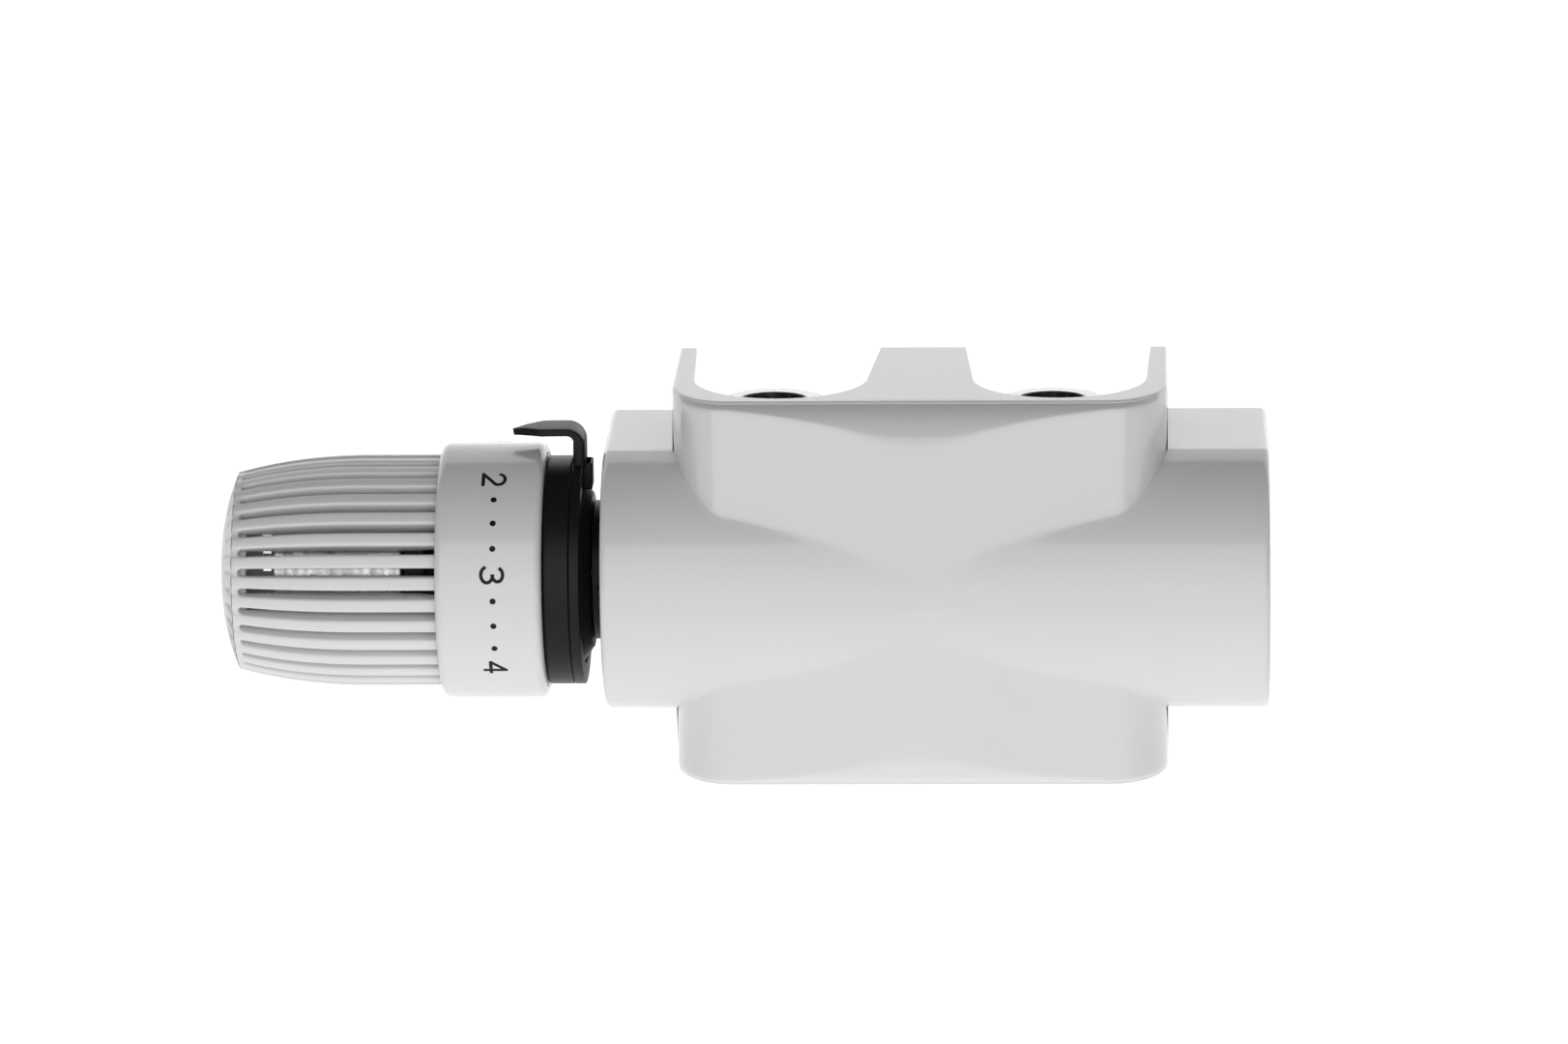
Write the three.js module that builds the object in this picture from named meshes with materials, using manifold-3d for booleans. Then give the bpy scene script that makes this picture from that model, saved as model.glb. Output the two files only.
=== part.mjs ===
// Two-pipe connection valve block with a thermostatic head and a plastic design cover.
// Millimetres, +Z up. The valve axis lies along X, the head is towards -X and the front is -Y.
import * as THREE from 'three';
import { mergeVertices } from 'three/addons/utils/BufferGeometryUtils.js';
import Module from 'manifold-3d';

const wasm = await Module();
wasm.setup();

// ---- Driving dimensions --------------------------------------------------------------------
const GAP = 0.3;                    // clearance between any two touching pieces
const SIDES = 24;                   // facets around an inner turned piece
const OUTER_SIDES = 48;             // facets around a piece that shows
const SMALL_SIDES = 16;             // facets around seals and small bores
const PORT_SPACING = 50;            // distance between the two pipe ports
const RING_RADIUS = 23.1;           // scale ring, the widest turned piece
const NECK_RADIUS = 12.55;          // neck between the head and the cover
const HEAD_LENGTH = 83.8;           // from the valve body's end to the end of the ribbed basket
const portX = PORT_SPACING / 2;
const BODY_HALF_LENGTH = portX + 13;
const AXIS_DEPTH = RING_RADIUS + 0.5;  // valve axis in front of the cover's open back

const COVER_SHIFT = 1.4;            // cover centre to the right of the valve centre
const COVER_WALL = 2.0;
const BARREL_HALF_HEIGHT = 23.85;   // horizontal half of the cover
const BARREL_NOSE_RADIUS = BARREL_HALF_HEIGHT + 0.25;  // round front
const BARREL_NOSE_DEPTH = AXIS_DEPTH + 3.6;  // centre of that round front
const BARREL_LEFT = BODY_HALF_LENGTH + 19.1;  // from the cover centre
const BARREL_RIGHT = BODY_HALF_LENGTH + 24.4;
const TOWER_HALF_WIDTH = portX + 19.3;  // vertical half of the cover
const TOWER_HALF_HEIGHT = 35.4;
const TOWER_CREST_DEPTH = AXIS_DEPTH + 27.9;  // deepest point of the tower's front
const TOWER_LEAN = 0.14;            // depth lost per mm of height from the axis
const TOWER_PROW = 0.12;            // depth lost per mm of width from the centre
const TOWER_PROW_BLEND = 9;         // half width of the soft ridge in the middle
const DECK_EDGE_DEPTH = AXIS_DEPTH + 17;  // front edge of the flat top and bottom decks
const CRESCENT_HEIGHT = 7.2;        // height of the curved bevel under each deck
const CRESCENT_DEPTH = 6.9;         // depth that the bevel loses over that height
const CRESCENT_POWER = 1.6;         // how late it loses it
const CORNER_WIDTH = 10.3;          // width of the tower's rounded corners
const CORNER_DEPTH = AXIS_DEPTH + 3.9;  // depth where the flat sides end
const DECK_CUT_RADIUS = 15.6;       // pipe cut-outs in both decks
const DECK_EAR_BACK = 3.0;          // ear thickness at the open back
const DECK_TONGUE_BACK = 7.7;       // half width of the middle tongue at the open back
const NECK_CUT_RADIUS = NECK_RADIUS + 1.05;  // slot for the head's neck in the left end wall
const COVER_RIB_X = 8;              // two clip ribs grip the valve's bridge
const COVER_RIB_WALL = 1.6;

const PORT_RADIUS = 12;             // upright tubes of the valve body
const PORT_BORE = 7;
const LOWER_THREAD_RADIUS = 13.2;
const LOWER_THREAD_LENGTH = 12;
const PORT_BOTTOM = -31;
const UPPER_END_RADIUS = 10.8;
const UPPER_END_TOP = 18.2;
const BARREL_BODY_RADIUS = 12.6;
const BRIDGE_RADIUS = 9;
const CHAMBER_RADIUS = 9.6;         // bore that takes either insert
const SEAT_X = portX - 1;           // face of each valve seat, from the middle
const SEAT_WALL = 2;
const SEAT_RADIUS = 5;
const BACK_CHAMBER_RADIUS = 6;
const BACK_CHAMBER_END = portX - 11;
const CROSS_BORE = 3.5;

const GASKET_THICKNESS = 1.5;
const TAIL_RADIUS = 10.48;          // G1/2 male thread towards the radiator
const TAIL_BORE = 6.7;
const TAIL_TOP = 31.2;
const TAIL_NECK_RADIUS = 8.6;
const TAIL_COLLAR = 1.7;
const TAIL_THREAD_BOTTOM = 25.2;
const THREAD_LEAD = 0.8;            // chamfer at each end of a tail's thread
const UNION_FLATS = 26;
const UNION_BOTTOM = 13.2;
const UNION_LIP = 2.2;

const THREAD_M30_RADIUS = 15;
const THREAD_M30_LENGTH = 7.7;
const BONNET_FLANGE_RADIUS = 12.4;
const BONNET_FLANGE = 2.5;
const BONNET_END = portX + 4.5;     // inner end of the insert, from the middle
const SPRING_ROOM_RADIUS = 6;
const SPRING_ROOM_LENGTH = 14.5;
const SPINDLE_RADIUS = 1.9;
const SPINDLE_COLLAR_RADIUS = 5;
const SPINDLE_OUT = 4.8;            // spindle end beyond the insert
const DISC_RADIUS = 6.6;
const DISC_THICKNESS = 1.5;
const SPINDLE_COLLAR = 1;           // thickness of the collar that the spring pushes
const DISC_HOLDER = 1.2;            // thickness of the plate behind the sealing disc
const CUP_THICKNESS = 1.2;          // plate that closes the spring room
const SPRING_RADIUS = 4.2;
const SPRING_WIRE = 0.8;
const SPRING_TURNS = 5;
const GROOVE_FROM_BODY = 1.6;       // seal groove of either insert, from the body's end
const GROOVE_WIDTH = 1.8;
const GLAND_FLATS = 12;
const GLAND_HEIGHT = 2;
const ORING = 1.4;                  // section of the small sealing rings

const TURN_DOWN_DEG = 57.6;         // handwheel travel from rest to 0
const TURN_UP_DEG = 174;            // handwheel travel from rest to 5
const THREAD_PITCH = 2.4;           // travel of the sensor for one turn

const NUT_FLATS = 32;               // union nut that holds the head
const NUT_LENGTH = 12.4;
const NUT_LIP = 2;
const NECK_BORE = 9;
const NECK_SLIT = 1.2;
const NECK_SLITS = 6;

const BASE_LEFT = -(BODY_HALF_LENGTH + 27.7);  // black base behind the scale ring
const BASE_THICKNESS = 4.5;
const BASE_RADIUS = RING_RADIUS - 2.45;
const BASE_BOSS_RADIUS = BASE_RADIUS - 3.95;
const BASE_RIGHT = -(BODY_HALF_LENGTH + 19.8);
const BASE_FACE_RADIUS = NECK_RADIUS + 1.6;  // small end of the base's cone
const BASE_SIDES = 36;
const BASE_WEB = 4;
const POINTER_THICKNESS = 1.6;
const POINTER_RADIUS = RING_RADIUS + 3.9;
const POINTER_STRAP = 1.5;
const POINTER_WIDTH = 8;
const POINTER_REACH = 12;           // strap length to the left of the pointer ring
const POINTER_TIP = 5;              // length of its pointed end
const POINTER_NARROWING = 0.8;      // share of the width left where the pointed end begins
const POINTER_TAB = 5;              // width of the small tab beside the riser
const POINTER_TAB_HEIGHT = 3;

const RING_LEFT = -(BODY_HALF_LENGTH + 47);  // scale ring
const RING_RIGHT = -(BODY_HALF_LENGTH + 28);
const RING_WALL = 1.9;
const RING_ROUND = 1.6;
const CAGE_RADIUS = RING_RADIUS - 2.2;
const CAGE_BORE = CAGE_RADIUS - 4.7;
const CAGE_END = -(BODY_HALF_LENGTH + HEAD_LENGTH);
const BASE_TUBE_RADIUS = CAGE_BORE + 0.7;  // the base's tube, on which the basket turns
const BASE_TUBE_BORE = CAGE_BORE - 3.3;
const CAGE_END_RADIUS = CAGE_RADIUS - 3;
const CAGE_TAPER = 24;              // length over which the basket draws in
const CAGE_TAPER_POWER = 2.2;
const SLOT_LEFT = CAGE_END + 1.2;
const SLOT_RIGHT = -(BODY_HALF_LENGTH + 48.9);
const SLOT_WIDTH = 1.55;
const SLOT_COUNT = 32;
const HUB_STEP = 1;                 // half length of the step from basket to hub
const END_DOME = 2.9;
const END_SPIGOT = 2.4;

const SENSOR_LEFT = CAGE_END + 6.8;
const SENSOR_RIGHT = -(BODY_HALF_LENGTH + 53.2);
const SENSOR_RADIUS = CAGE_BORE - 2;
const CARRIER_FLANGE = 3.4;
const CARRIER_FLANGE_RADIUS = CAGE_BORE - 0.8;
const CARRIER_RIGHT = -(BODY_HALF_LENGTH + 34);
const CARRIER_WALL = 1.6;
const CARRIER_BORE = 8;
const ROD_RADIUS = 2.5;
const ROD_HEAD_RADIUS = 7;
const ROD_HEAD_X = -(BODY_HALF_LENGTH + 42);
const ROD_HEAD = 1.5;
const OVERTRAVEL_RADIUS = 5.6;      // spring that gives way when the valve is already shut
const OVERTRAVEL_WIRE = 1;
const OVERTRAVEL_TURNS = 4;
const CLIP_X = -(BODY_HALF_LENGTH + 38.5);
const CLIP_THICKNESS = 1;

const LOCK_THREAD_RADIUS = 9;
const LOCK_THREAD_LENGTH = 8;
const LOCK_STEM_RADIUS = 4;
const LOCK_LIFT = 4;                // regulating travel of the lockshield plug
const LOCK_OPEN = 2;                // how far the plug is open at rest
const LOCK_STEM_END = BODY_HALF_LENGTH + 9;
const PLUG_HEAD = 2.5;              // thickness of the lockshield's closing head
const KEY_DEPTH = 6;
const HEX_KEY_FLATS = 5;
const CAP_RADIUS = 11;
const CAP_WALL = 1.6;
const CAP_TOP = BODY_HALF_LENGTH + 15;

// ---- Materials -----------------------------------------------------------------------------
function material(color, roughness, metalness) {
  return new THREE.MeshStandardMaterial({ color, roughness, metalness });
}

const whiteGloss = material(0xf2f2f0, 0.18, 0);
const whiteSatin = material(0xececea, 0.4, 0);
const blackPlastic = material(0x151515, 0.45, 0);
const nickel = material(0xb9b6b0, 0.25, 1);
const brass = material(0xc9a24a, 0.3, 1);
const steel = material(0xa9abad, 0.3, 1);
const foil = material(0xcfd1d3, 0.3, 1);
const rubber = material(0x1d1d1d, 0.7, 0);
const fibre = material(0x8a4a35, 0.8, 0);

// ---- Solids --------------------------------------------------------------------------------
// Closed solid from a three.js geometry. Merging leaves only shared positions, and triangles
// that collapse on the axis of a turned piece are dropped.
function solid(source) {
  const plain = source.clone();
  plain.deleteAttribute('normal');
  plain.deleteAttribute('uv');
  const merged = mergeVertices(plain, 1e-4);
  const corners = [];
  const index = merged.index.array;
  for (let i = 0; i < index.length; i += 3) {
    const [a, b, c] = [index[i], index[i + 1], index[i + 2]];
    if (a !== b && b !== c && c !== a) corners.push(a, b, c);
  }
  const mesh = new wasm.Mesh({
    numProp: 3,
    vertProperties: new Float32Array(merged.attributes.position.array),
    triVerts: new Uint32Array(corners),
  });
  return new wasm.Manifold(mesh);
}

function geometryOf(body) {
  const mesh = body.getMesh();
  const geometry = new THREE.BufferGeometry();
  geometry.setAttribute('position', new THREE.BufferAttribute(mesh.vertProperties, 3));
  geometry.setIndex(new THREE.BufferAttribute(mesh.triVerts, 1));
  return geometry;
}

// Twice the signed area of an outline, positive when it runs anticlockwise.
function signedArea(points) {
  let sum = 0;
  for (let i = 0; i < points.length; i += 1) {
    const [x0, y0] = points[i];
    const [x1, y1] = points[(i + 1) % points.length];
    sum += x0 * y1 - x1 * y0;
  }
  return sum;
}

// Solid of revolution about X. Points are [x, radius] around a closed outline.
function turned(points, segments = SIDES) {
  const outline = points.map(([x, radius]) => [radius, x]);
  if (signedArea(outline) < 0) outline.reverse();
  outline.push(outline[0]);
  const profile = outline.map(([radius, x]) => new THREE.Vector2(radius, x));
  return solid(new THREE.LatheGeometry(profile, segments).rotateZ(-Math.PI / 2));
}

// The same solid turned upright, so that its points are [z, radius] about Z.
function upright(points, segments = SIDES) {
  return turned(points, segments).rotate([0, -90, 0]);
}

function tube(x0, x1, outer, inner, segments = SIDES) {
  return turned([[x0, inner], [x1, inner], [x1, outer], [x0, outer]], segments);
}

function rod(x0, x1, radius, segments = SIDES) {
  return turned([[x0, 0], [x1, 0], [x1, radius], [x0, radius]], segments);
}

function uprightRod(z0, z1, radius, segments = SIDES) {
  return upright([[z0, 0], [z1, 0], [z1, radius], [z0, radius]], segments);
}

// Hexagonal bar along X with two flats facing up and down.
function hexBar(x0, x1, flats) {
  const corner = flats / Math.sqrt(3);
  return rod(x0, x1, corner, 6);
}

// Ring of round section about X.
function oRing(x, radius, section) {
  const points = [];
  for (let i = 0; i < 5; i += 1) {
    const angle = (i * 2 * Math.PI) / 5;
    points.push([x + (Math.cos(angle) * section) / 2, radius + (Math.sin(angle) * section) / 2]);
  }
  return turned(points, SMALL_SIDES);
}

// Outline in two coordinates pulled along the third: 'x' takes [y, z], 'z' takes [x, y].
function pulled(points, along, from, to) {
  const shape = new THREE.Shape(points.map(([a, b]) => new THREE.Vector2(a, b)));
  const body = solid(new THREE.ExtrudeGeometry(shape, { depth: to - from, bevelEnabled: false }));
  const lifted = body.translate([0, 0, from]);
  if (along === 'z') return lifted;
  return lifted.transform([0, 1, 0, 0, 0, 0, 1, 0, 1, 0, 0, 0, 0, 0, 0, 1]);
}

function block(x0, x1, y0, y1, z0, z1) {
  const box = new THREE.BoxGeometry(x1 - x0, y1 - y0, z1 - z0);
  return solid(box.translate((x0 + x1) / 2, (y0 + y1) / 2, (z0 + z1) / 2));
}

function arc(cx, cy, radius, from, to, steps) {
  const points = [];
  for (let i = 0; i <= steps; i += 1) {
    const angle = THREE.MathUtils.degToRad(from + ((to - from) * i) / steps);
    points.push([cx + radius * Math.cos(angle), cy + radius * Math.sin(angle)]);
  }
  return points;
}

// Helical spring about X, ground to its two end planes by its own wire.
class SpringCurve extends THREE.Curve {
  constructor(x0, x1, radius, turns) {
    super();
    Object.assign(this, { x0, x1, radius, turns });
  }

  getPoint(t, target = new THREE.Vector3()) {
    const angle = t * this.turns * 2 * Math.PI;
    const x = THREE.MathUtils.lerp(this.x0, this.x1, t);
    return target.set(x, this.radius * Math.cos(angle), this.radius * Math.sin(angle));
  }
}

function spring(x0, x1, radius, wire, turns) {
  const outline = arc(0, 0, wire / 2, 0, 270, 3);
  const section = new THREE.Shape(outline.map(([a, b]) => new THREE.Vector2(a, b)));
  const path = new SpringCurve(x0 + wire / 2, x1 - wire / 2, radius, turns);
  return solid(new THREE.ExtrudeGeometry(section, { steps: turns * 10, extrudePath: path }));
}

// ---- Assembly ------------------------------------------------------------------------------
const assembly = new THREE.Group();
const onAxis = new THREE.Group();
onAxis.position.y = -AXIS_DEPTH;
assembly.add(onAxis);

function place(parent, name, body, surface) {
  const mesh = new THREE.Mesh(geometryOf(body), surface);
  mesh.name = name;
  parent.add(mesh);
}

// ---- Cover ---------------------------------------------------------------------------------
// Depth of the tower's front at a place on it. "inset" is the wall for the inner surface.
function towerDepth(x, z, inset) {
  const halfWidth = TOWER_HALF_WIDTH - inset;
  const halfHeight = TOWER_HALF_HEIGHT - inset;
  const cornerStart = TOWER_HALF_WIDTH - CORNER_WIDTH;
  const across = Math.min(Math.abs(x), cornerStart);
  const prow = across < TOWER_PROW_BLEND
    ? (TOWER_PROW * across ** 2) / (2 * TOWER_PROW_BLEND)
    : TOWER_PROW * (across - TOWER_PROW_BLEND / 2);
  const front = TOWER_CREST_DEPTH - inset - prow - TOWER_LEAN * Math.abs(z);
  const rise = (Math.abs(z) - (halfHeight - CRESCENT_HEIGHT)) / CRESCENT_HEIGHT;
  const bevel = DECK_EDGE_DEPTH - inset + CRESCENT_DEPTH * (1 - Math.max(0, rise) ** CRESCENT_POWER);
  const depth = rise < 0 ? front : Math.min(front, bevel);
  const beyond = Math.max(0, Math.abs(x) - cornerStart) / (halfWidth - cornerStart);
  return CORNER_DEPTH + (depth - CORNER_DEPTH) * Math.sqrt(Math.max(0, 1 - beyond ** 2));
}

// Values from -limit to limit, crowded towards both ends over the last "edge" of the way.
function crowded(limit, edge, edgeSteps, middleSteps) {
  const half = [];
  for (let i = 0; i <= middleSteps; i += 1) half.push(((limit - edge) * i) / middleSteps);
  for (let i = 1; i <= edgeSteps; i += 1) {
    half.push(limit - edge + edge * Math.sin((i * Math.PI) / (2 * edgeSteps)));
  }
  return [...half.slice(1).reverse().map((value) => -value), ...half];
}

// A box whose front grid is pushed out to the tower's depth.
function tower(inset, back) {
  const halfWidth = TOWER_HALF_WIDTH - inset;
  const halfHeight = TOWER_HALF_HEIGHT - inset;
  const columns = crowded(halfWidth, halfWidth - (TOWER_HALF_WIDTH - CORNER_WIDTH), 6, 6);
  const rows = crowded(halfHeight, CRESCENT_HEIGHT, 4, 5);
  const box = new THREE.BoxGeometry(2, 2, 2, columns.length - 1, 1, rows.length - 1);
  const position = box.attributes.position;
  for (let i = 0; i < position.count; i += 1) {
    const column = Math.round(((position.getX(i) + 1) / 2) * (columns.length - 1));
    const row = Math.round(((position.getZ(i) + 1) / 2) * (rows.length - 1));
    const depth = position.getY(i) < 0 ? towerDepth(columns[column], rows[row], inset) : back;
    position.setXYZ(i, columns[column], -depth, rows[row]);
  }
  return solid(box);
}

function barrel(inset, left, right, back) {
  const half = BARREL_HALF_HEIGHT - inset;
  const radius = BARREL_NOSE_RADIUS - inset;
  const reach = THREE.MathUtils.radToDeg(Math.asin(half / radius));
  const nose = arc(-BARREL_NOSE_DEPTH, 0, radius, 180 + reach, 180 - reach, 18);
  return pulled([[-back, half], [-back, -half], ...nose].reverse(), 'x', left, right);
}

// Cut-out for one pipe: round at the front and open at the back, its sides slightly splayed.
function deckCut(side) {
  const centre = (side * PORT_SPACING) / 2;
  const outerBack = side * (TOWER_HALF_WIDTH - DECK_EAR_BACK);
  const innerBack = side * DECK_TONGUE_BACK;
  const front = arc(centre, -AXIS_DEPTH, DECK_CUT_RADIUS, 180, 360, 16);
  const [left, right] = side < 0 ? [outerBack, innerBack] : [innerBack, outerBack];
  const outline = [...front, [right, 0], [right, GAP], [left, GAP], [left, 0]];
  const height = TOWER_HALF_HEIGHT + 1;
  return pulled(outline, 'z', -height, height);
}

function coverShell() {
  const outer = tower(0, 0).add(barrel(0, -BARREL_LEFT, BARREL_RIGHT, 0));
  const innerBarrel = barrel(COVER_WALL, COVER_WALL - BARREL_LEFT, BARREL_RIGHT - COVER_WALL, -1);
  const inner = tower(COVER_WALL, -1).add(innerBarrel);
  const neckSlot = [
    ...arc(-AXIS_DEPTH, 0, NECK_CUT_RADIUS, 270, 90, 16),
    [1, NECK_CUT_RADIUS],
    [1, -NECK_CUT_RADIUS],
  ].reverse();
  let shell = outer.subtract(inner);
  for (const side of [-1, 1]) {
    const x = side * COVER_RIB_X;
    const rib = block(
      x - COVER_RIB_WALL / 2, x + COVER_RIB_WALL / 2,
      -2 * TOWER_CREST_DEPTH, -AXIS_DEPTH, -BRIDGE_RADIUS - 4, BRIDGE_RADIUS + 4,
    );
    const grip = rod(x - 2, x + 2, BRIDGE_RADIUS + GAP).translate([0, -AXIS_DEPTH, 0]);
    shell = shell.add(rib.subtract(grip).intersect(outer)).subtract(deckCut(side));
  }
  shell = shell.subtract(pulled(neckSlot, 'x', -BARREL_LEFT - 1, -BARREL_LEFT + COVER_WALL + 1));
  return shell.translate([COVER_SHIFT, 0, 0]);
}

// ---- Valve body and unions -----------------------------------------------------------------
function valveBody() {
  let body = rod(-BODY_HALF_LENGTH, -SEAT_X + 8, BARREL_BODY_RADIUS)
    .add(rod(SEAT_X - 8, BODY_HALF_LENGTH, BARREL_BODY_RADIUS))
    .add(rod(-SEAT_X, SEAT_X, BRIDGE_RADIUS));
  for (const side of [-1, 1]) {
    const column = upright([
      [PORT_BOTTOM, 0],
      [PORT_BOTTOM, LOWER_THREAD_RADIUS],
      [PORT_BOTTOM + LOWER_THREAD_LENGTH, LOWER_THREAD_RADIUS],
      [PORT_BOTTOM + LOWER_THREAD_LENGTH, PORT_RADIUS],
      [BRIDGE_RADIUS, PORT_RADIUS],
      [BRIDGE_RADIUS, UPPER_END_RADIUS],
      [UPPER_END_TOP, UPPER_END_RADIUS],
      [UPPER_END_TOP, 0],
    ]);
    body = body.add(column.translate([side * portX, 0, 0]));
  }
  for (const side of [-1, 1]) {
    const lower = uprightRod(PORT_BOTTOM - 1, -CHAMBER_RADIUS - 3, PORT_BORE);
    const upper = uprightRod(0, UPPER_END_TOP + 1, PORT_BORE);
    const cross = uprightRod(-CHAMBER_RADIUS - 4, 0, CROSS_BORE, SMALL_SIDES);
    const chamber = rod(side * SEAT_X, side * (BODY_HALF_LENGTH + 1), CHAMBER_RADIUS);
    const throat = rod(side * SEAT_X, side * (SEAT_X - SEAT_WALL), SEAT_RADIUS, SMALL_SIDES);
    const backLeft = side * (SEAT_X - SEAT_WALL);
    const back = rod(backLeft, side * BACK_CHAMBER_END, BACK_CHAMBER_RADIUS, SMALL_SIDES);
    // The upper channel meets only the outer chamber: the seat wall behind it stays whole.
    const seatGuard = block(
      -SEAT_X, SEAT_X, -PORT_RADIUS, PORT_RADIUS, -1, UPPER_END_RADIUS,
    );
    const crossX = side * (BACK_CHAMBER_END + CROSS_BORE + GAP);
    body = body.subtract(lower.translate([side * portX, 0, 0]))
      .subtract(upper.translate([side * portX, 0, 0]).subtract(seatGuard))
      .subtract(cross.translate([crossX, 0, 0]))
      .subtract(chamber)
      .subtract(throat)
      .subtract(back);
  }
  return body;
}

const gasketBottom = UPPER_END_TOP + GAP;
const collarBottom = gasketBottom + GASKET_THICKNESS + GAP;
const collarTop = collarBottom + TAIL_COLLAR;
const lipBottom = collarTop + GAP;

function unionNut() {
  const top = lipBottom + UNION_LIP;
  const hex = hexBar(UNION_BOTTOM, top, UNION_FLATS).rotate([30, 0, 0]).rotate([0, -90, 0]);
  return hex
    .subtract(uprightRod(UNION_BOTTOM - 1, lipBottom, UPPER_END_RADIUS + GAP))
    .subtract(uprightRod(UNION_BOTTOM, top + 1, TAIL_NECK_RADIUS + GAP));
}

function tailPiece() {
  return upright([
    [collarBottom, TAIL_BORE],
    [collarBottom, UPPER_END_RADIUS - GAP],
    [collarTop, UPPER_END_RADIUS - GAP],
    [collarTop, TAIL_NECK_RADIUS],
    [TAIL_THREAD_BOTTOM + ORING, TAIL_NECK_RADIUS],
    [TAIL_THREAD_BOTTOM + ORING, TAIL_RADIUS - THREAD_LEAD],
    [TAIL_THREAD_BOTTOM + ORING + THREAD_LEAD, TAIL_RADIUS],
    [TAIL_TOP - THREAD_LEAD, TAIL_RADIUS],
    [TAIL_TOP, TAIL_RADIUS - THREAD_LEAD],
    [TAIL_TOP, TAIL_BORE + GAP],
    [TAIL_TOP - GAP, TAIL_BORE],
  ], SIDES);
}

function gasket() {
  const top = gasketBottom + GASKET_THICKNESS;
  return upright([
    [gasketBottom, PORT_BORE],
    [gasketBottom, UPPER_END_RADIUS - GAP],
    [top, UPPER_END_RADIUS - GAP],
    [top, PORT_BORE],
  ]);
}

function tailSeal() {
  const radius = TAIL_NECK_RADIUS + GAP + ORING / 2;
  return oRing(TAIL_THREAD_BOTTOM + ORING / 2 - GAP, radius, ORING - GAP).rotate([0, -90, 0]);
}

// ---- Thermostatic insert -------------------------------------------------------------------
const bodyLeft = -BODY_HALF_LENGTH;
const flangeLeft = bodyLeft - GAP - BONNET_FLANGE;
const bonnetLeft = flangeLeft - THREAD_M30_LENGTH;
const springRoomLeft = -BONNET_END - SPRING_ROOM_LENGTH;
const closingLift = (THREAD_PITCH * TURN_DOWN_DEG) / 360;
const openingLift = (THREAD_PITCH * TURN_UP_DEG) / 360;
const discRight = -SEAT_X - closingLift - GAP;
const holderRight = discRight - DISC_THICKNESS - GAP;
const collarLeft = springRoomLeft + openingLift + 2 * GAP;
const spindleLeft = bonnetLeft - SPINDLE_OUT;
const cupRight = -BONNET_END - GAP;

function insertBonnet() {
  const spigot = CHAMBER_RADIUS - GAP;
  const grooveLeft = bodyLeft + GROOVE_FROM_BODY;
  return turned([
    [bonnetLeft, SPINDLE_RADIUS + 2 * ORING],
    [bonnetLeft, THREAD_M30_RADIUS - 1],
    [bonnetLeft + 1, THREAD_M30_RADIUS],
    [flangeLeft, THREAD_M30_RADIUS],
    [flangeLeft, BONNET_FLANGE_RADIUS],
    [bodyLeft - GAP, BONNET_FLANGE_RADIUS],
    [bodyLeft - GAP, spigot],
    [grooveLeft, spigot],
    [grooveLeft, spigot - ORING],
    [grooveLeft + GROOVE_WIDTH, spigot - ORING],
    [grooveLeft + GROOVE_WIDTH, spigot],
    [-BONNET_END, spigot],
    [-BONNET_END, SPRING_ROOM_RADIUS],
    [springRoomLeft, SPRING_ROOM_RADIUS],
    [springRoomLeft, SPINDLE_RADIUS + GAP],
    [bonnetLeft + ORING + GAP, SPINDLE_RADIUS + GAP],
    [bonnetLeft + ORING + GAP, SPINDLE_RADIUS + 2 * ORING],
  ]);
}

function bonnetSeal() {
  const middle = bodyLeft + GROOVE_FROM_BODY + GROOVE_WIDTH / 2;
  return oRing(middle, CHAMBER_RADIUS - GAP - ORING / 2, ORING - GAP);
}

function glandNut() {
  const right = bonnetLeft - GAP;
  return hexBar(right - GLAND_HEIGHT, right, GLAND_FLATS)
    .subtract(rod(right - GLAND_HEIGHT - 1, right + 1, SPINDLE_RADIUS + GAP));
}

function glandSeal() {
  return oRing(bonnetLeft + ORING / 2, SPINDLE_RADIUS + GAP + ORING / 2, ORING - GAP / 2);
}

function valveSpindle() {
  return turned([
    [spindleLeft, 0],
    [spindleLeft, SPINDLE_RADIUS - GAP],
    [spindleLeft + GAP, SPINDLE_RADIUS],
    [collarLeft, SPINDLE_RADIUS],
    [collarLeft, SPINDLE_COLLAR_RADIUS],
    [collarLeft + SPINDLE_COLLAR, SPINDLE_COLLAR_RADIUS],
    [collarLeft + SPINDLE_COLLAR, SPINDLE_RADIUS],
    [holderRight - DISC_HOLDER, SPINDLE_RADIUS],
    [holderRight - DISC_HOLDER, DISC_RADIUS - 1],
    [holderRight, DISC_RADIUS - 1],
    [holderRight, SPINDLE_RADIUS],
    [discRight, SPINDLE_RADIUS],
    [discRight, 0],
  ], SMALL_SIDES);
}

function valveDisc() {
  return tube(holderRight + GAP, discRight, DISC_RADIUS, SPINDLE_RADIUS + GAP, SMALL_SIDES);
}

function springCup() {
  const left = cupRight - CUP_THICKNESS;
  return tube(left, cupRight, SPRING_ROOM_RADIUS - GAP, SPINDLE_RADIUS + GAP, SMALL_SIDES);
}

// The spring is drawn as short as it is when the valve is shut, clear of the collar throughout.
function returnSpring() {
  const left = collarLeft + SPINDLE_COLLAR + closingLift + GAP;
  return spring(left, cupRight - CUP_THICKNESS - GAP, SPRING_RADIUS, SPRING_WIRE, SPRING_TURNS);
}

// ---- Thermostatic head ---------------------------------------------------------------------
const nutLeft = flangeLeft - NUT_LENGTH + GAP;
const nutLipRight = nutLeft + NUT_LIP;
const neckFlangeLeft = nutLipRight + GAP;
const neckRight = bonnetLeft - GAP;
const neckLeft = BASE_RIGHT + GAP;
const pointerLeft = BASE_LEFT + BASE_THICKNESS + GAP;
const tubeLeft = SLOT_RIGHT + HUB_STEP + GAP;

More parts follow.
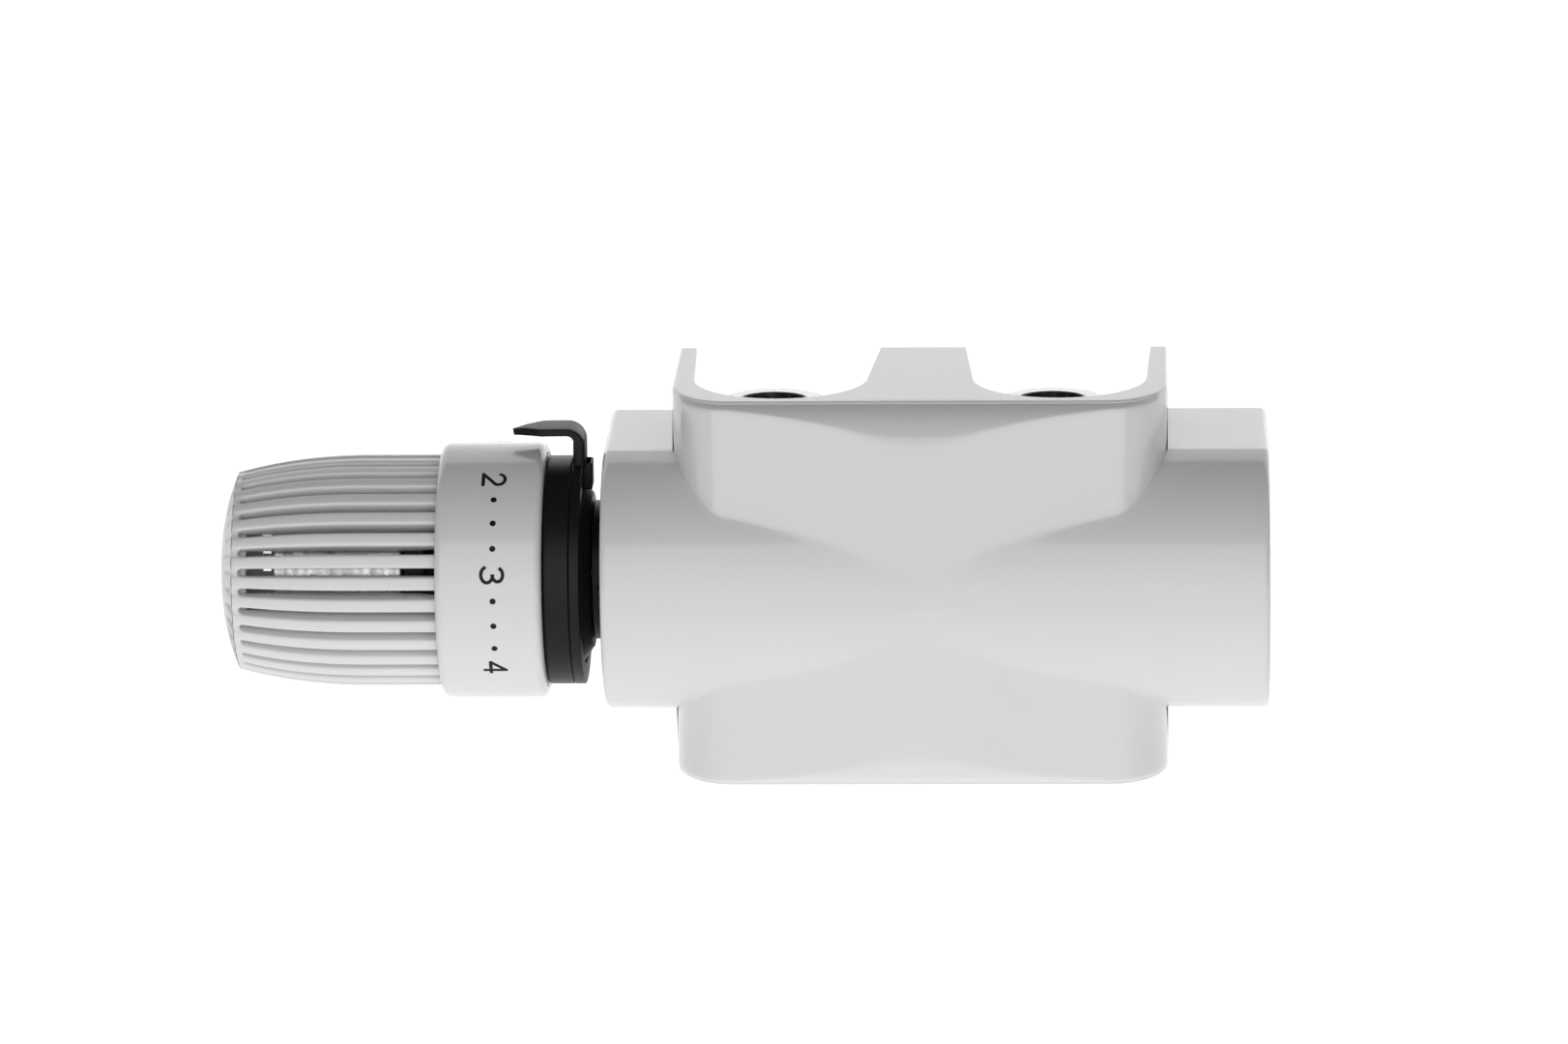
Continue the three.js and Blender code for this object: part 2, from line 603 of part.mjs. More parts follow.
function headNut() {
  return hexBar(nutLeft, flangeLeft, NUT_FLATS)
    .subtract(rod(nutLipRight, flangeLeft + 1, THREAD_M30_RADIUS + GAP))
    .subtract(rod(nutLeft - 1, nutLipRight + 1, NECK_RADIUS + GAP));
}

function neckSleeve() {
  let sleeve = turned([
    [neckLeft, NECK_BORE],
    [neckLeft, NECK_RADIUS],
    [neckFlangeLeft, NECK_RADIUS],
    [neckFlangeLeft, THREAD_M30_RADIUS - GAP],
    [neckRight, THREAD_M30_RADIUS - GAP],
    [neckRight, NECK_BORE],
  ], SIDES);
  for (let i = 0; i < NECK_SLITS; i += 1) {
    const slit = block(
      neckLeft + 1, neckFlangeLeft - 1, -NECK_SLIT / 2, NECK_SLIT / 2,
      NECK_RADIUS - NECK_SLIT, NECK_RADIUS + 1,
    );
    sleeve = sleeve.subtract(slit.rotate([(i * 360) / NECK_SLITS, 0, 0]));
  }
  return sleeve;
}

function baseSocket() {
  return turned([
    [tubeLeft, BASE_TUBE_BORE],
    [tubeLeft, BASE_TUBE_RADIUS],
    [BASE_LEFT, BASE_TUBE_RADIUS],
    [BASE_LEFT, BASE_RADIUS],
    [BASE_LEFT + BASE_THICKNESS, BASE_RADIUS],
    [BASE_LEFT + BASE_THICKNESS, BASE_BOSS_RADIUS],
    [pointerLeft + POINTER_THICKNESS, BASE_BOSS_RADIUS],
    [BASE_RIGHT, BASE_FACE_RADIUS],
    [BASE_RIGHT, NECK_BORE],
    [BASE_LEFT + BASE_WEB, NECK_BORE],
    [BASE_LEFT + BASE_WEB, ROD_RADIUS + GAP],
    [BASE_LEFT, ROD_RADIUS + GAP],
    [BASE_LEFT, BASE_TUBE_BORE],
  ], BASE_SIDES);
}

// Pointer ring: a flat ring, a riser at the top and a pointed strap over the scale ring.
function pointerRing() {
  const right = pointerLeft + POINTER_THICKNESS;
  const strapBottom = POINTER_RADIUS - POINTER_STRAP;
  const half = POINTER_WIDTH / 2;
  const left = pointerLeft - POINTER_REACH;
  const arrow = [
    [right, -half], [right, half], [left + POINTER_TIP, half * POINTER_NARROWING], [left, 0],
    [left + POINTER_TIP, -half * POINTER_NARROWING],
  ];
  const tabTop = BASE_RADIUS - GAP;
  const tab = block(
    pointerLeft + GAP, right + POINTER_THICKNESS, -POINTER_TAB / 2, POINTER_TAB / 2,
    tabTop - POINTER_TAB_HEIGHT, tabTop,
  );
  return tube(pointerLeft, right, BASE_RADIUS, BASE_BOSS_RADIUS + GAP, BASE_SIDES)
    .add(block(pointerLeft, right, -half, half, BASE_RADIUS - 1, POINTER_RADIUS))
    .add(pulled(arrow, 'z', strapBottom, POINTER_RADIUS))
    .add(tab);
}

function scaleRing() {
  const inner = RING_RADIUS - RING_WALL;
  const points = [
    ...arc(RING_LEFT + RING_ROUND, RING_RADIUS - RING_ROUND, RING_ROUND, 180, 90, 2),
    ...arc(RING_RIGHT - RING_ROUND, RING_RADIUS - RING_ROUND, RING_ROUND, 90, 0, 2),
    [RING_RIGHT, inner],
    [RING_LEFT, inner],
  ];
  return turned(points, OUTER_SIDES);
}

// Ribbed cage: hub under the scale ring, slotted basket and a closed band at the end.
function handwheelCage() {
  const outer = RING_RADIUS - RING_WALL - GAP;
  const hub = BASE_TUBE_RADIUS + GAP;
  const taper = CAGE_RADIUS - CAGE_END_RADIUS;
  const shoulder = [];
  for (let i = 0; i <= 4; i += 1) {
    const t = i / 4;
    shoulder.push([CAGE_END + CAGE_TAPER * (1 - t), CAGE_RADIUS - taper * t ** CAGE_TAPER_POWER]);
  }
  let cage = turned([
    [RING_RIGHT, outer],
    ...shoulder,
    [CAGE_END, CAGE_BORE],
    [SLOT_RIGHT - HUB_STEP, CAGE_BORE],
    [SLOT_RIGHT + HUB_STEP, hub],
    [RING_RIGHT, hub],
  ], 2 * SLOT_COUNT);
  for (let i = 0; i < SLOT_COUNT; i += 1) {
    const slot = block(
      SLOT_LEFT, SLOT_RIGHT, -SLOT_WIDTH / 2, SLOT_WIDTH / 2, CAGE_BORE - 4, CAGE_RADIUS + 1,
    );
    cage = cage.subtract(slot.rotate([((i + 0.5) * 360) / SLOT_COUNT, 0, 0]));
  }
  return cage;
}

function endDisc() {
  const rim = CAGE_END - GAP;
  const dome = [];
  for (let i = 0; i <= 4; i += 1) {
    const t = i / 4;
    dome.push([rim - END_DOME * (1 - t ** 2), CAGE_END_RADIUS * t]);
  }
  const spigot = CAGE_BORE - GAP;
  return turned([
    ...dome,
    [rim, spigot],
    [rim + END_SPIGOT, spigot],
    [rim + END_SPIGOT, spigot - 2],
    [rim - GAP, spigot - 2],
    [rim - GAP, 0],
  ], OUTER_SIDES);
}

function sensorCan() {
  return turned([
    [SENSOR_LEFT, 0],
    [SENSOR_LEFT, SENSOR_RADIUS - 2],
    [SENSOR_LEFT + 2, SENSOR_RADIUS],
    [SENSOR_RIGHT - 1, SENSOR_RADIUS],
    [SENSOR_RIGHT, SENSOR_RADIUS - 1],
    [SENSOR_RIGHT, 0],
  ]);
}

const carrierLeft = SENSOR_RIGHT + GAP;
const carrierRoom = carrierLeft + CARRIER_WALL;

function sensorCarrier() {
  return turned([
    [carrierLeft, 0],
    [carrierLeft, CARRIER_FLANGE_RADIUS],
    [carrierLeft + CARRIER_FLANGE, CARRIER_FLANGE_RADIUS],
    [carrierLeft + CARRIER_FLANGE, BASE_TUBE_BORE - GAP],
    [CARRIER_RIGHT, BASE_TUBE_BORE - GAP],
    [CARRIER_RIGHT, CARRIER_BORE],
    [carrierRoom, CARRIER_BORE],
    [carrierRoom, 0],
  ]);
}

function pushRod() {
  return turned([
    [ROD_HEAD_X, 0],
    [ROD_HEAD_X, ROD_HEAD_RADIUS],
    [ROD_HEAD_X + ROD_HEAD, ROD_HEAD_RADIUS],
    [ROD_HEAD_X + ROD_HEAD, ROD_RADIUS],
    [spindleLeft - GAP, ROD_RADIUS],
    [spindleLeft - GAP, 0],
  ], SMALL_SIDES);
}

function overtravelSpring() {
  const left = carrierRoom + GAP;
  return spring(left, ROD_HEAD_X - GAP, OVERTRAVEL_RADIUS, OVERTRAVEL_WIRE, OVERTRAVEL_TURNS);
}

function carrierClip() {
  return tube(CLIP_X, CLIP_X + CLIP_THICKNESS, CARRIER_BORE - GAP, ROD_RADIUS + 1, SMALL_SIDES);
}

// ---- Lockshield ----------------------------------------------------------------------------
const bodyRight = BODY_HALF_LENGTH;
const plugLeft = SEAT_X + LOCK_OPEN + GAP;
const lockFlangeRight = bodyRight + GAP + BONNET_FLANGE;
const lockRight = lockFlangeRight + LOCK_THREAD_LENGTH;
const lockSpigotEnd = plugLeft + PLUG_HEAD + (LOCK_LIFT - LOCK_OPEN) + GAP;

function lockBonnet() {
  const spigot = CHAMBER_RADIUS - GAP;
  const grooveRight = bodyRight - GROOVE_FROM_BODY;
  return turned([
    [lockSpigotEnd, LOCK_STEM_RADIUS + GAP],
    [lockSpigotEnd, spigot],
    [grooveRight - GROOVE_WIDTH, spigot],
    [grooveRight - GROOVE_WIDTH, spigot - ORING],
    [grooveRight, spigot - ORING],
    [grooveRight, spigot],
    [bodyRight + GAP, spigot],
    [bodyRight + GAP, BONNET_FLANGE_RADIUS],
    [lockFlangeRight, BONNET_FLANGE_RADIUS],
    [lockFlangeRight, LOCK_THREAD_RADIUS],
    [lockRight, LOCK_THREAD_RADIUS],
    [lockRight, LOCK_STEM_RADIUS + GAP],
  ]);
}

function lockSeal() {
  const middle = bodyRight - GROOVE_FROM_BODY - GROOVE_WIDTH / 2;
  return oRing(middle, CHAMBER_RADIUS - GAP - ORING / 2, ORING - GAP);
}

function lockPlug() {
  const groove = LOCK_STEM_RADIUS - ORING;
  const stem = turned([
    [plugLeft, 0],
    [plugLeft, DISC_RADIUS - 1],
    [plugLeft + 1, DISC_RADIUS],
    [plugLeft + PLUG_HEAD, DISC_RADIUS],
    [plugLeft + PLUG_HEAD, LOCK_STEM_RADIUS],
    [bodyRight - ORING / 2 - GAP, LOCK_STEM_RADIUS],
    [bodyRight - ORING / 2 - GAP, groove],
    [bodyRight + ORING / 2 + GAP, groove],
    [bodyRight + ORING / 2 + GAP, LOCK_STEM_RADIUS],
    [LOCK_STEM_END, LOCK_STEM_RADIUS],
    [LOCK_STEM_END, 0],
  ], SMALL_SIDES);
  return stem.subtract(hexBar(LOCK_STEM_END - KEY_DEPTH, LOCK_STEM_END + 1, HEX_KEY_FLATS));
}

function stemSeal() {
  return oRing(bodyRight, LOCK_STEM_RADIUS - ORING / 2 + GAP / 2, ORING - GAP);
}

function lockCap() {
  const inner = LOCK_THREAD_RADIUS + GAP;
  const left = lockFlangeRight + GAP;
  return turned([
    [left, inner],
    [left, CAP_RADIUS],
    [CAP_TOP - 1, CAP_RADIUS],
    [CAP_TOP, CAP_RADIUS - 1],
    [CAP_TOP, 0],
    [CAP_TOP - CAP_WALL, 0],
    [CAP_TOP - CAP_WALL, inner],
  ]);
}

// ---- Build ---------------------------------------------------------------------------------
place(assembly, 'cover_shell', coverShell(), whiteGloss);

place(onAxis, 'valve_body', valveBody(), nickel);
for (const side of [-1, 1]) {
  const label = side < 0 ? 'left' : 'right';
  const port = new THREE.Group();
  port.position.x = side * portX;
  onAxis.add(port);
  place(port, `union_nut_${label}`, unionNut(), nickel);
  place(port, `tail_piece_${label}`, tailPiece(), nickel);
  place(port, `flat_gasket_${label}`, gasket(), fibre);
  place(port, `tail_seal_${label}`, tailSeal(), rubber);
}

place(onAxis, 'insert_bonnet', insertBonnet(), brass);
place(onAxis, 'insert_seal', bonnetSeal(), rubber);
place(onAxis, 'gland_nut', glandNut(), brass);
place(onAxis, 'gland_seal', glandSeal(), rubber);
place(onAxis, 'valve_spindle', valveSpindle(), steel);
place(onAxis, 'valve_disc', valveDisc(), rubber);
place(onAxis, 'spring_cup', springCup(), brass);
place(onAxis, 'return_spring', returnSpring(), steel);

place(onAxis, 'head_union_nut', headNut(), nickel);
place(onAxis, 'neck_sleeve', neckSleeve(), blackPlastic);
place(onAxis, 'base_socket', baseSocket(), blackPlastic);
place(onAxis, 'pointer_ring', pointerRing(), blackPlastic);
place(onAxis, 'scale_ring', scaleRing(), whiteGloss);
place(onAxis, 'handwheel_cage', handwheelCage(), whiteSatin);
place(onAxis, 'end_disc', endDisc(), whiteSatin);
place(onAxis, 'sensor_can', sensorCan(), foil);
place(onAxis, 'sensor_carrier', sensorCarrier(), blackPlastic);
place(onAxis, 'push_rod', pushRod(), steel);
place(onAxis, 'overtravel_spring', overtravelSpring(), steel);
place(onAxis, 'carrier_clip', carrierClip(), steel);

place(onAxis, 'lockshield_bonnet', lockBonnet(), brass);
place(onAxis, 'lockshield_seal', lockSeal(), rubber);
place(onAxis, 'lockshield_plug', lockPlug(), brass);
place(onAxis, 'plug_seal', stemSeal(), rubber);
place(onAxis, 'lockshield_cap', lockCap(), nickel);

// The origin is the centre of the bounding box's bottom face.
const bounds = new THREE.Box3().setFromObject(assembly);
const middle = bounds.getCenter(new THREE.Vector3());
assembly.position.set(-middle.x, -middle.y, -bounds.min.z);

const group = new THREE.Group();
group.add(assembly);

export default group;
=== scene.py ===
"""Thermostatic two-pipe connection valve under a glossy clip-on cover.

Metres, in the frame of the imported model: +X along the valve axis away from the head, +Y towards
the wall, +Z up. Every surface is a function of two parameters on a grid, or a profile turned
about the valve axis or carried along a path.
"""
import math

import bmesh
import bpy
import numpy as np
from mathutils import Matrix, Vector


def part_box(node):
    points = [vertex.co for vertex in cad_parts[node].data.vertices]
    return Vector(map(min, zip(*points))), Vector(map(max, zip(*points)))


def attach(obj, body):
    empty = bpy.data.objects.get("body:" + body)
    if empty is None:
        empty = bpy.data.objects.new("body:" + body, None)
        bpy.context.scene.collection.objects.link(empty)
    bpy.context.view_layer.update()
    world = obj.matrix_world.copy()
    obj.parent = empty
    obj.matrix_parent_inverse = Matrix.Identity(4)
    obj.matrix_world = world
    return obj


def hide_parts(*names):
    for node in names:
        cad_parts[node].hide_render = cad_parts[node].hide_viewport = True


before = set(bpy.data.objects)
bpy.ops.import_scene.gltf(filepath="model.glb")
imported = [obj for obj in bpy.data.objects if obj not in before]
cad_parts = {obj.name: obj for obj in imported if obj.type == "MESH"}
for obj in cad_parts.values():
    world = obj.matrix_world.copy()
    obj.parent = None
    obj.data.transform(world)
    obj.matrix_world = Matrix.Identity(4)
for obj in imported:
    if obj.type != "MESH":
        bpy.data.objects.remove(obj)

MM = 0.001
TURN = 2 * math.pi
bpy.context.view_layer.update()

# ---- Places, from the frame ----------------------------------------------------------------
cover_low, cover_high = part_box("cover_shell")
ring_low, ring_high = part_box("scale_ring")
BACK = cover_high[1]                                # the cover's open back
AXIS_Y = (ring_low[1] + ring_high[1]) / 2           # valve axis
AXIS_Z = (cover_low[2] + cover_high[2]) / 2
AXIS_DEPTH = BACK - AXIS_Y
VALVE_X = (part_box("tail_piece_left")[0][0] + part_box("tail_piece_right")[1][0]) / 2
PORT_HALF = 25 * MM                                 # half the distance between the ports

# ---- Sizes of the cover --------------------------------------------------------------------
COVER_SHIFT = 1.4 * MM
COVER_X = VALVE_X + COVER_SHIFT
COVER_WALL = 2.0 * MM
BARREL_HALF = 23.85 * MM
NOSE_RADIUS = 24.1 * MM
NOSE_DEPTH = 27.2 * MM
TOWER_HALF_WIDTH = 44.3 * MM
TOWER_HALF_HEIGHT = (cover_high[2] - cover_low[2]) / 2
CREST_DEPTH = 51.5 * MM
TOWER_LEAN = 0.14
TOWER_PROW = 0.12
PROW_BLEND = 9 * MM
DECK_EDGE = 40.6 * MM
CRESCENT_HEIGHT = 7.9 * MM
CRESCENT_DEPTH = 4.95 * MM
BROW_DEPTH = 2.1 * MM                               # lost close to the deck, on top of the crescent's
CORNER_WIDTH = 10.3 * MM
CORNER_DEPTH = 27.5 * MM
CUT_RADIUS = 15.6 * MM
EAR_BACK = 3.0 * MM
TONGUE_BACK = 7.7 * MM
NECK_CUT_RADIUS = 13.6 * MM
EDGE_ROUND = 0.6 * MM                               # outer edges of the mould
END_LEAN = 0.01                                     # the left end wall leans in towards the front
END_ROUND = 1.3 * MM                                # edges of the two end walls
CREASE_SOFT = 0.25 * MM                             # softness of the inner creases


# ---- Mesh helpers --------------------------------------------------------------------------
def add_mesh(name, points, faces, body, nodes=(), sharp=35, smooth=True):
    """Makes an object from points and faces, and tells the frame what it is."""
    mesh = bpy.data.meshes.new(name)
    mesh.from_pydata(np.asarray(points, float).tolist(), [], [tuple(map(int, f)) for f in faces])
    mesh.validate()
    obj = bpy.data.objects.new(name, mesh)
    bpy.context.scene.collection.objects.link(obj)
    mesh.polygons.foreach_set("use_smooth", [smooth] * len(mesh.polygons))
    if smooth and sharp:
        mesh.set_sharp_from_angle(angle=math.radians(sharp))
    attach(obj, body)
    if nodes:
        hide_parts(*nodes)
    return obj


def grid_faces(rows, columns, wrap=False, keep=None):
    """Quads of a grid numbered row by row; wrap joins the last column to the first."""
    i, j = np.meshgrid(np.arange(rows - 1), np.arange(columns if wrap else columns - 1), indexing="ij")
    k = (j + 1) % columns
    quads = np.stack([i * columns + j, i * columns + k, (i + 1) * columns + k, (i + 1) * columns + j], -1)
    return quads[keep] if keep is not None else quads.reshape(-1, 4)


def merge(parts):
    """Joins several (points, faces) pairs into one pair."""
    points, faces, start = [], [], 0
    for part_points, part_faces in parts:
        part_points = np.asarray(part_points, float).reshape(-1, 3)
        points.append(part_points)
        faces.extend([tuple(int(v) + start for v in face) for face in part_faces])
        start += len(part_points)
    return np.concatenate(points), faces


def rim_faces(quads, shift):
    """Quads between the open edges of a sheet and the same edges of its copy, "shift" later."""
    edges = np.concatenate([quads[:, [k, (k + 1) % 4]] for k in range(4)])
    edges = edges[edges[:, 0] != edges[:, 1]]
    key = np.sort(edges, axis=1)
    _, first, count = np.unique(key, axis=0, return_index=True, return_counts=True)
    open_edges = edges[first[count == 1]]
    a, b = open_edges[:, 0], open_edges[:, 1]
    return np.stack([b, a, a + shift, b + shift], -1)


def on_axis(x, radius, angle):
    """Points around the valve axis: angle 0 faces the front and a quarter turn faces up."""
    x, radius, angle = np.broadcast_arrays(x, radius, angle)
    y = AXIS_Y - radius * np.cos(angle)
    return np.stack([x, y, AXIS_Z + radius * np.sin(angle)], -1)


def turned(profile, steps=96, centre=None, upright=False):
    """Closed outline of (along, radius) points turned once about an axis.

    Points on the axis close a pole. The axis is the valve's, or the upright one through
    "centre" (x, y, z), along which the outline's first value is then counted.
    """
    profile = np.asarray(profile, float)
    along, radius = profile[:, 0], profile[:, 1]
    area = np.sum(along * np.roll(radius, -1) - np.roll(along, -1) * radius)
    if (area < 0) != upright:
        along, radius = along[::-1], radius[::-1]
    angle = np.arange(steps) * TURN / steps
    grid_along = np.repeat(along[:, None], steps, 1)
    grid_radius = np.repeat(radius[:, None], steps, 1)
    if upright:
        x = centre[0] + grid_radius * np.cos(angle)
        y = centre[1] + grid_radius * np.sin(angle)
        points = np.stack([x, y, centre[2] + grid_along], -1)
    else:
        points = on_axis(grid_along, grid_radius, angle[None, :])
    count = len(along)
    faces = grid_faces(count, steps, wrap=True)
    last = np.arange(steps)
    closing = np.stack([(count - 1) * steps + last, (count - 1) * steps + (last + 1) % steps,
                        (last + 1) % steps, last], -1)
    return points.reshape(-1, 3), np.concatenate([faces, closing])


def weld(obj, distance=1e-6):
    """Merges points that coincide, such as the poles of a turned piece."""
    work = bmesh.new()
    work.from_mesh(obj.data)
    bmesh.ops.remove_doubles(work, verts=work.verts, dist=distance)
    bmesh.ops.dissolve_degenerate(work, edges=work.edges, dist=distance)
    bmesh.ops.recalc_face_normals(work, faces=work.faces)
    work.to_mesh(obj.data)
    work.free()
    obj.data.set_sharp_from_angle(angle=math.radians(35))


# ---- Cover ---------------------------------------------------------------------------------
def soft_max(a, b, soft):
    """The larger of two depths, blended over about "soft"."""
    return (a + b + np.sqrt((a - b) ** 2 + soft ** 2)) / 2


def soft_min(a, b, soft):
    """The smaller of two depths, blended over about "soft"."""
    return -soft_max(-a, -b, soft)


def nose_depth(z, inset):
    """Depth of the barrel's round front at height z."""
    radius = NOSE_RADIUS - inset
    return NOSE_DEPTH + np.sqrt(np.maximum(radius ** 2 - z ** 2, 0))


def prow(x):
    """Depth that the tower's front loses away from its soft middle ridge."""
    x = np.abs(x)
    near = TOWER_PROW * x ** 2 / (2 * PROW_BLEND)
    return np.where(x < PROW_BLEND, near, TOWER_PROW * (x - PROW_BLEND / 2))


def bevel_depth(rise, inset):
    """Depth of the curved bevel: it falls slowly at first and steeply close to the deck."""
    lost = CRESCENT_DEPTH * (1 - rise ** 1.55) + BROW_DEPTH * (1 - rise ** 8)
    return DECK_EDGE - inset + lost


def tower_depth(x, z, inset):
    """Depth of the tower's front: two leaning facets, a curved bevel and round corners."""
    start = TOWER_HALF_WIDTH - CORNER_WIDTH
    half_width = TOWER_HALF_WIDTH - inset
    across = np.minimum(np.abs(x), start)
    front = CREST_DEPTH - inset - prow(across) - TOWER_LEAN * np.abs(z)
    low = TOWER_HALF_HEIGHT - inset - CRESCENT_HEIGHT
    rise = (np.abs(z) - low) / CRESCENT_HEIGHT
    bevel = bevel_depth(np.clip(rise, 0, 1), inset) - CRESCENT_DEPTH * np.minimum(rise, 0)
    depth = soft_min(front, bevel, CREASE_SOFT)
    beyond = np.clip((np.abs(x) - start) / (half_width - start), 0, 1)
    return CORNER_DEPTH + (depth - CORNER_DEPTH) * np.sqrt(1 - beyond ** 2)


ROWS = {"nose": 16, "front": 16, "bevel": 10, "edge": 4, "deck": 8, "back": 8}


def crowd(count, power=1.0):
    """Values from 0 to 1, crowded towards both ends."""
    t = np.linspace(0, 1, count + 1)
    return (1 - power) * t + power * (1 - np.cos(math.pi * t)) / 2


def crossing(x, inset):
    """Height at which the tower's front leaves the barrel's nose, for each x."""
    z = np.linspace(0, BARREL_HALF - inset, 600)
    gap = tower_depth(x[:, None], z[None, :], inset) - nose_depth(z, inset)[None, :]
    behind = gap < 0
    last = np.where(behind.any(1), behind.shape[1] - 1 - behind[:, ::-1].argmax(1), 0)
    return np.clip(z[last], 3 * MM, BARREL_HALF - inset - 0.02 * MM)


def bevel_start(x, inset):
    """Height at which the curved bevel leaves the leaning front, for each x."""
    top = TOWER_HALF_HEIGHT - inset
    z = np.linspace(top - CRESCENT_HEIGHT, top, 400)
    rise = (z - z[0]) / CRESCENT_HEIGHT
    bevel = bevel_depth(rise, inset)
    across = np.minimum(np.abs(x), TOWER_HALF_WIDTH - CORNER_WIDTH)
    front = CREST_DEPTH - inset - prow(across)[:, None] - TOWER_LEAN * z[None, :]
    return z[np.argmax(bevel[None, :] < front, axis=1)]


def tower_rows(x, inset, cut_end):
    """Depth and height of every row of the upper half, for tower columns at x.

    The rows run from the middle of the front up over the bevel and the rounded deck edge to
    "cut_end" on the deck, and on to the open back. Returns arrays (rows, columns).
    """
    round_start = TOWER_HALF_WIDTH - inset - EDGE_ROUND
    over = np.clip((np.abs(x) - round_start) / EDGE_ROUND, 0, 1)
    top = TOWER_HALF_HEIGHT - inset - EDGE_ROUND * (1 - np.sqrt(1 - over ** 2))
    low, bend = crossing(x, inset), bevel_start(x, inset)
    brink = top - 0.45 * MM
    bend = np.minimum(bend, brink - 0.3 * MM)
    z = np.concatenate([
        crowd(ROWS["nose"], 0.6)[:, None] * low,
        low + crowd(ROWS["front"], 0.8)[1:, None] * (bend - low),
        bend + crowd(ROWS["bevel"], 0.5)[1:, None] * (brink - bend),
    ])
    nose = np.where(z < BARREL_HALF - inset, nose_depth(z, inset), 0)
    depth = soft_max(tower_depth(x[None, :], z, inset), nose, CREASE_SOFT)
    depth = np.minimum(depth, CREST_DEPTH - inset)
    corner = depth[-1] - 0.1 * MM
    deck_start = corner - 0.6 * MM
    t = np.linspace(0, 1, ROWS["edge"] + 1)[1:, None]
    edge_depth = (1 - t) ** 2 * depth[-1] + 2 * t * (1 - t) * corner + t ** 2 * deck_start
    edge_z = (1 - t) ** 2 * z[-1] + 2 * t * (1 - t) * top + t ** 2 * top
    t = crowd(ROWS["deck"], 0.3)[1:, None]
    deck_depth = deck_start + t * (cut_end - deck_start)
    t = np.linspace(0, 1, ROWS["back"] + 1)[1:, None]
    back_depth = cut_end * (1 - t)
    flat = np.repeat(top[None, :], ROWS["deck"] + ROWS["back"], 0)
    return (np.concatenate([depth, edge_depth, deck_depth, back_depth]),
            np.concatenate([z, edge_z, flat]))


def barrel_rows(inset):
    """Depth and height of every row of the upper half of the barrel, as two columns of values."""
    half = BARREL_HALF - inset
    radius = NOSE_RADIUS - inset
    reach = math.asin(half / radius)
    soft = 0.5 * MM / radius
    angle = crowd(ROWS["nose"], 0.2) * (reach - soft)
    nose_d, nose_z = NOSE_DEPTH + radius * np.cos(angle), radius * np.sin(angle)
    crease = NOSE_DEPTH + radius * math.cos(reach)
    count = ROWS["front"] + ROWS["bevel"] + ROWS["edge"]
    t = np.linspace(0, 1, count + 1)[1:]
    flat_start = crease - 0.5 * MM
    edge_d = (1 - t) ** 2 * nose_d[-1] + 2 * t * (1 - t) * crease + t ** 2 * flat_start
    edge_z = (1 - t) ** 2 * nose_z[-1] + 2 * t * (1 - t) * half + t ** 2 * half
    t = crowd(ROWS["deck"], 0.3)[1:]
    deck_d = flat_start + t * (AXIS_DEPTH - flat_start)
    t = np.linspace(0, 1, ROWS["back"] + 1)[1:]
    back_d = AXIS_DEPTH * (1 - t)
    flat = np.full(ROWS["deck"] + ROWS["back"], half)
    return np.concatenate([nose_d, edge_d, deck_d, back_d])[:, None], np.concatenate(
        [nose_z, edge_z, flat])[:, None]


def tower_columns():
    """x of the tower's columns, outer and inner, with the side of the cut-out each is in.

    Columns crowd at the sides of the two round cut-outs and in the rounded corners.
    """
    cut_left, cut_right = PORT_HALF - CUT_RADIUS, PORT_HALF + CUT_RADIUS
    half = TOWER_HALF_WIDTH
    inner_half = half - COVER_WALL
    tongue = np.linspace(0, cut_left, 7)[:-1]
    cut = PORT_HALF - CUT_RADIUS * np.cos(np.linspace(0, math.pi, 37))
    angle = np.linspace(0, math.pi / 2, 6)[1:]
    ear = np.concatenate([
        np.linspace(cut_right, half - EDGE_ROUND, 7)[1:],
        half - EDGE_ROUND + EDGE_ROUND * np.sin(angle),
    ])
    inner_ear = cut_right + (ear - cut_right) * (inner_half - cut_right) / (half - cut_right)
    outer = np.concatenate([tongue, cut, ear])
    inner = np.concatenate([tongue, cut, inner_ear])
    in_cut = np.concatenate([np.zeros(len(tongue)), np.ones(len(cut)), np.zeros(len(ear))]).astype(bool)
    return (np.concatenate([-outer[:0:-1], outer]), np.concatenate([-inner[:0:-1], inner]),
            np.concatenate([in_cut[:0:-1], in_cut]))


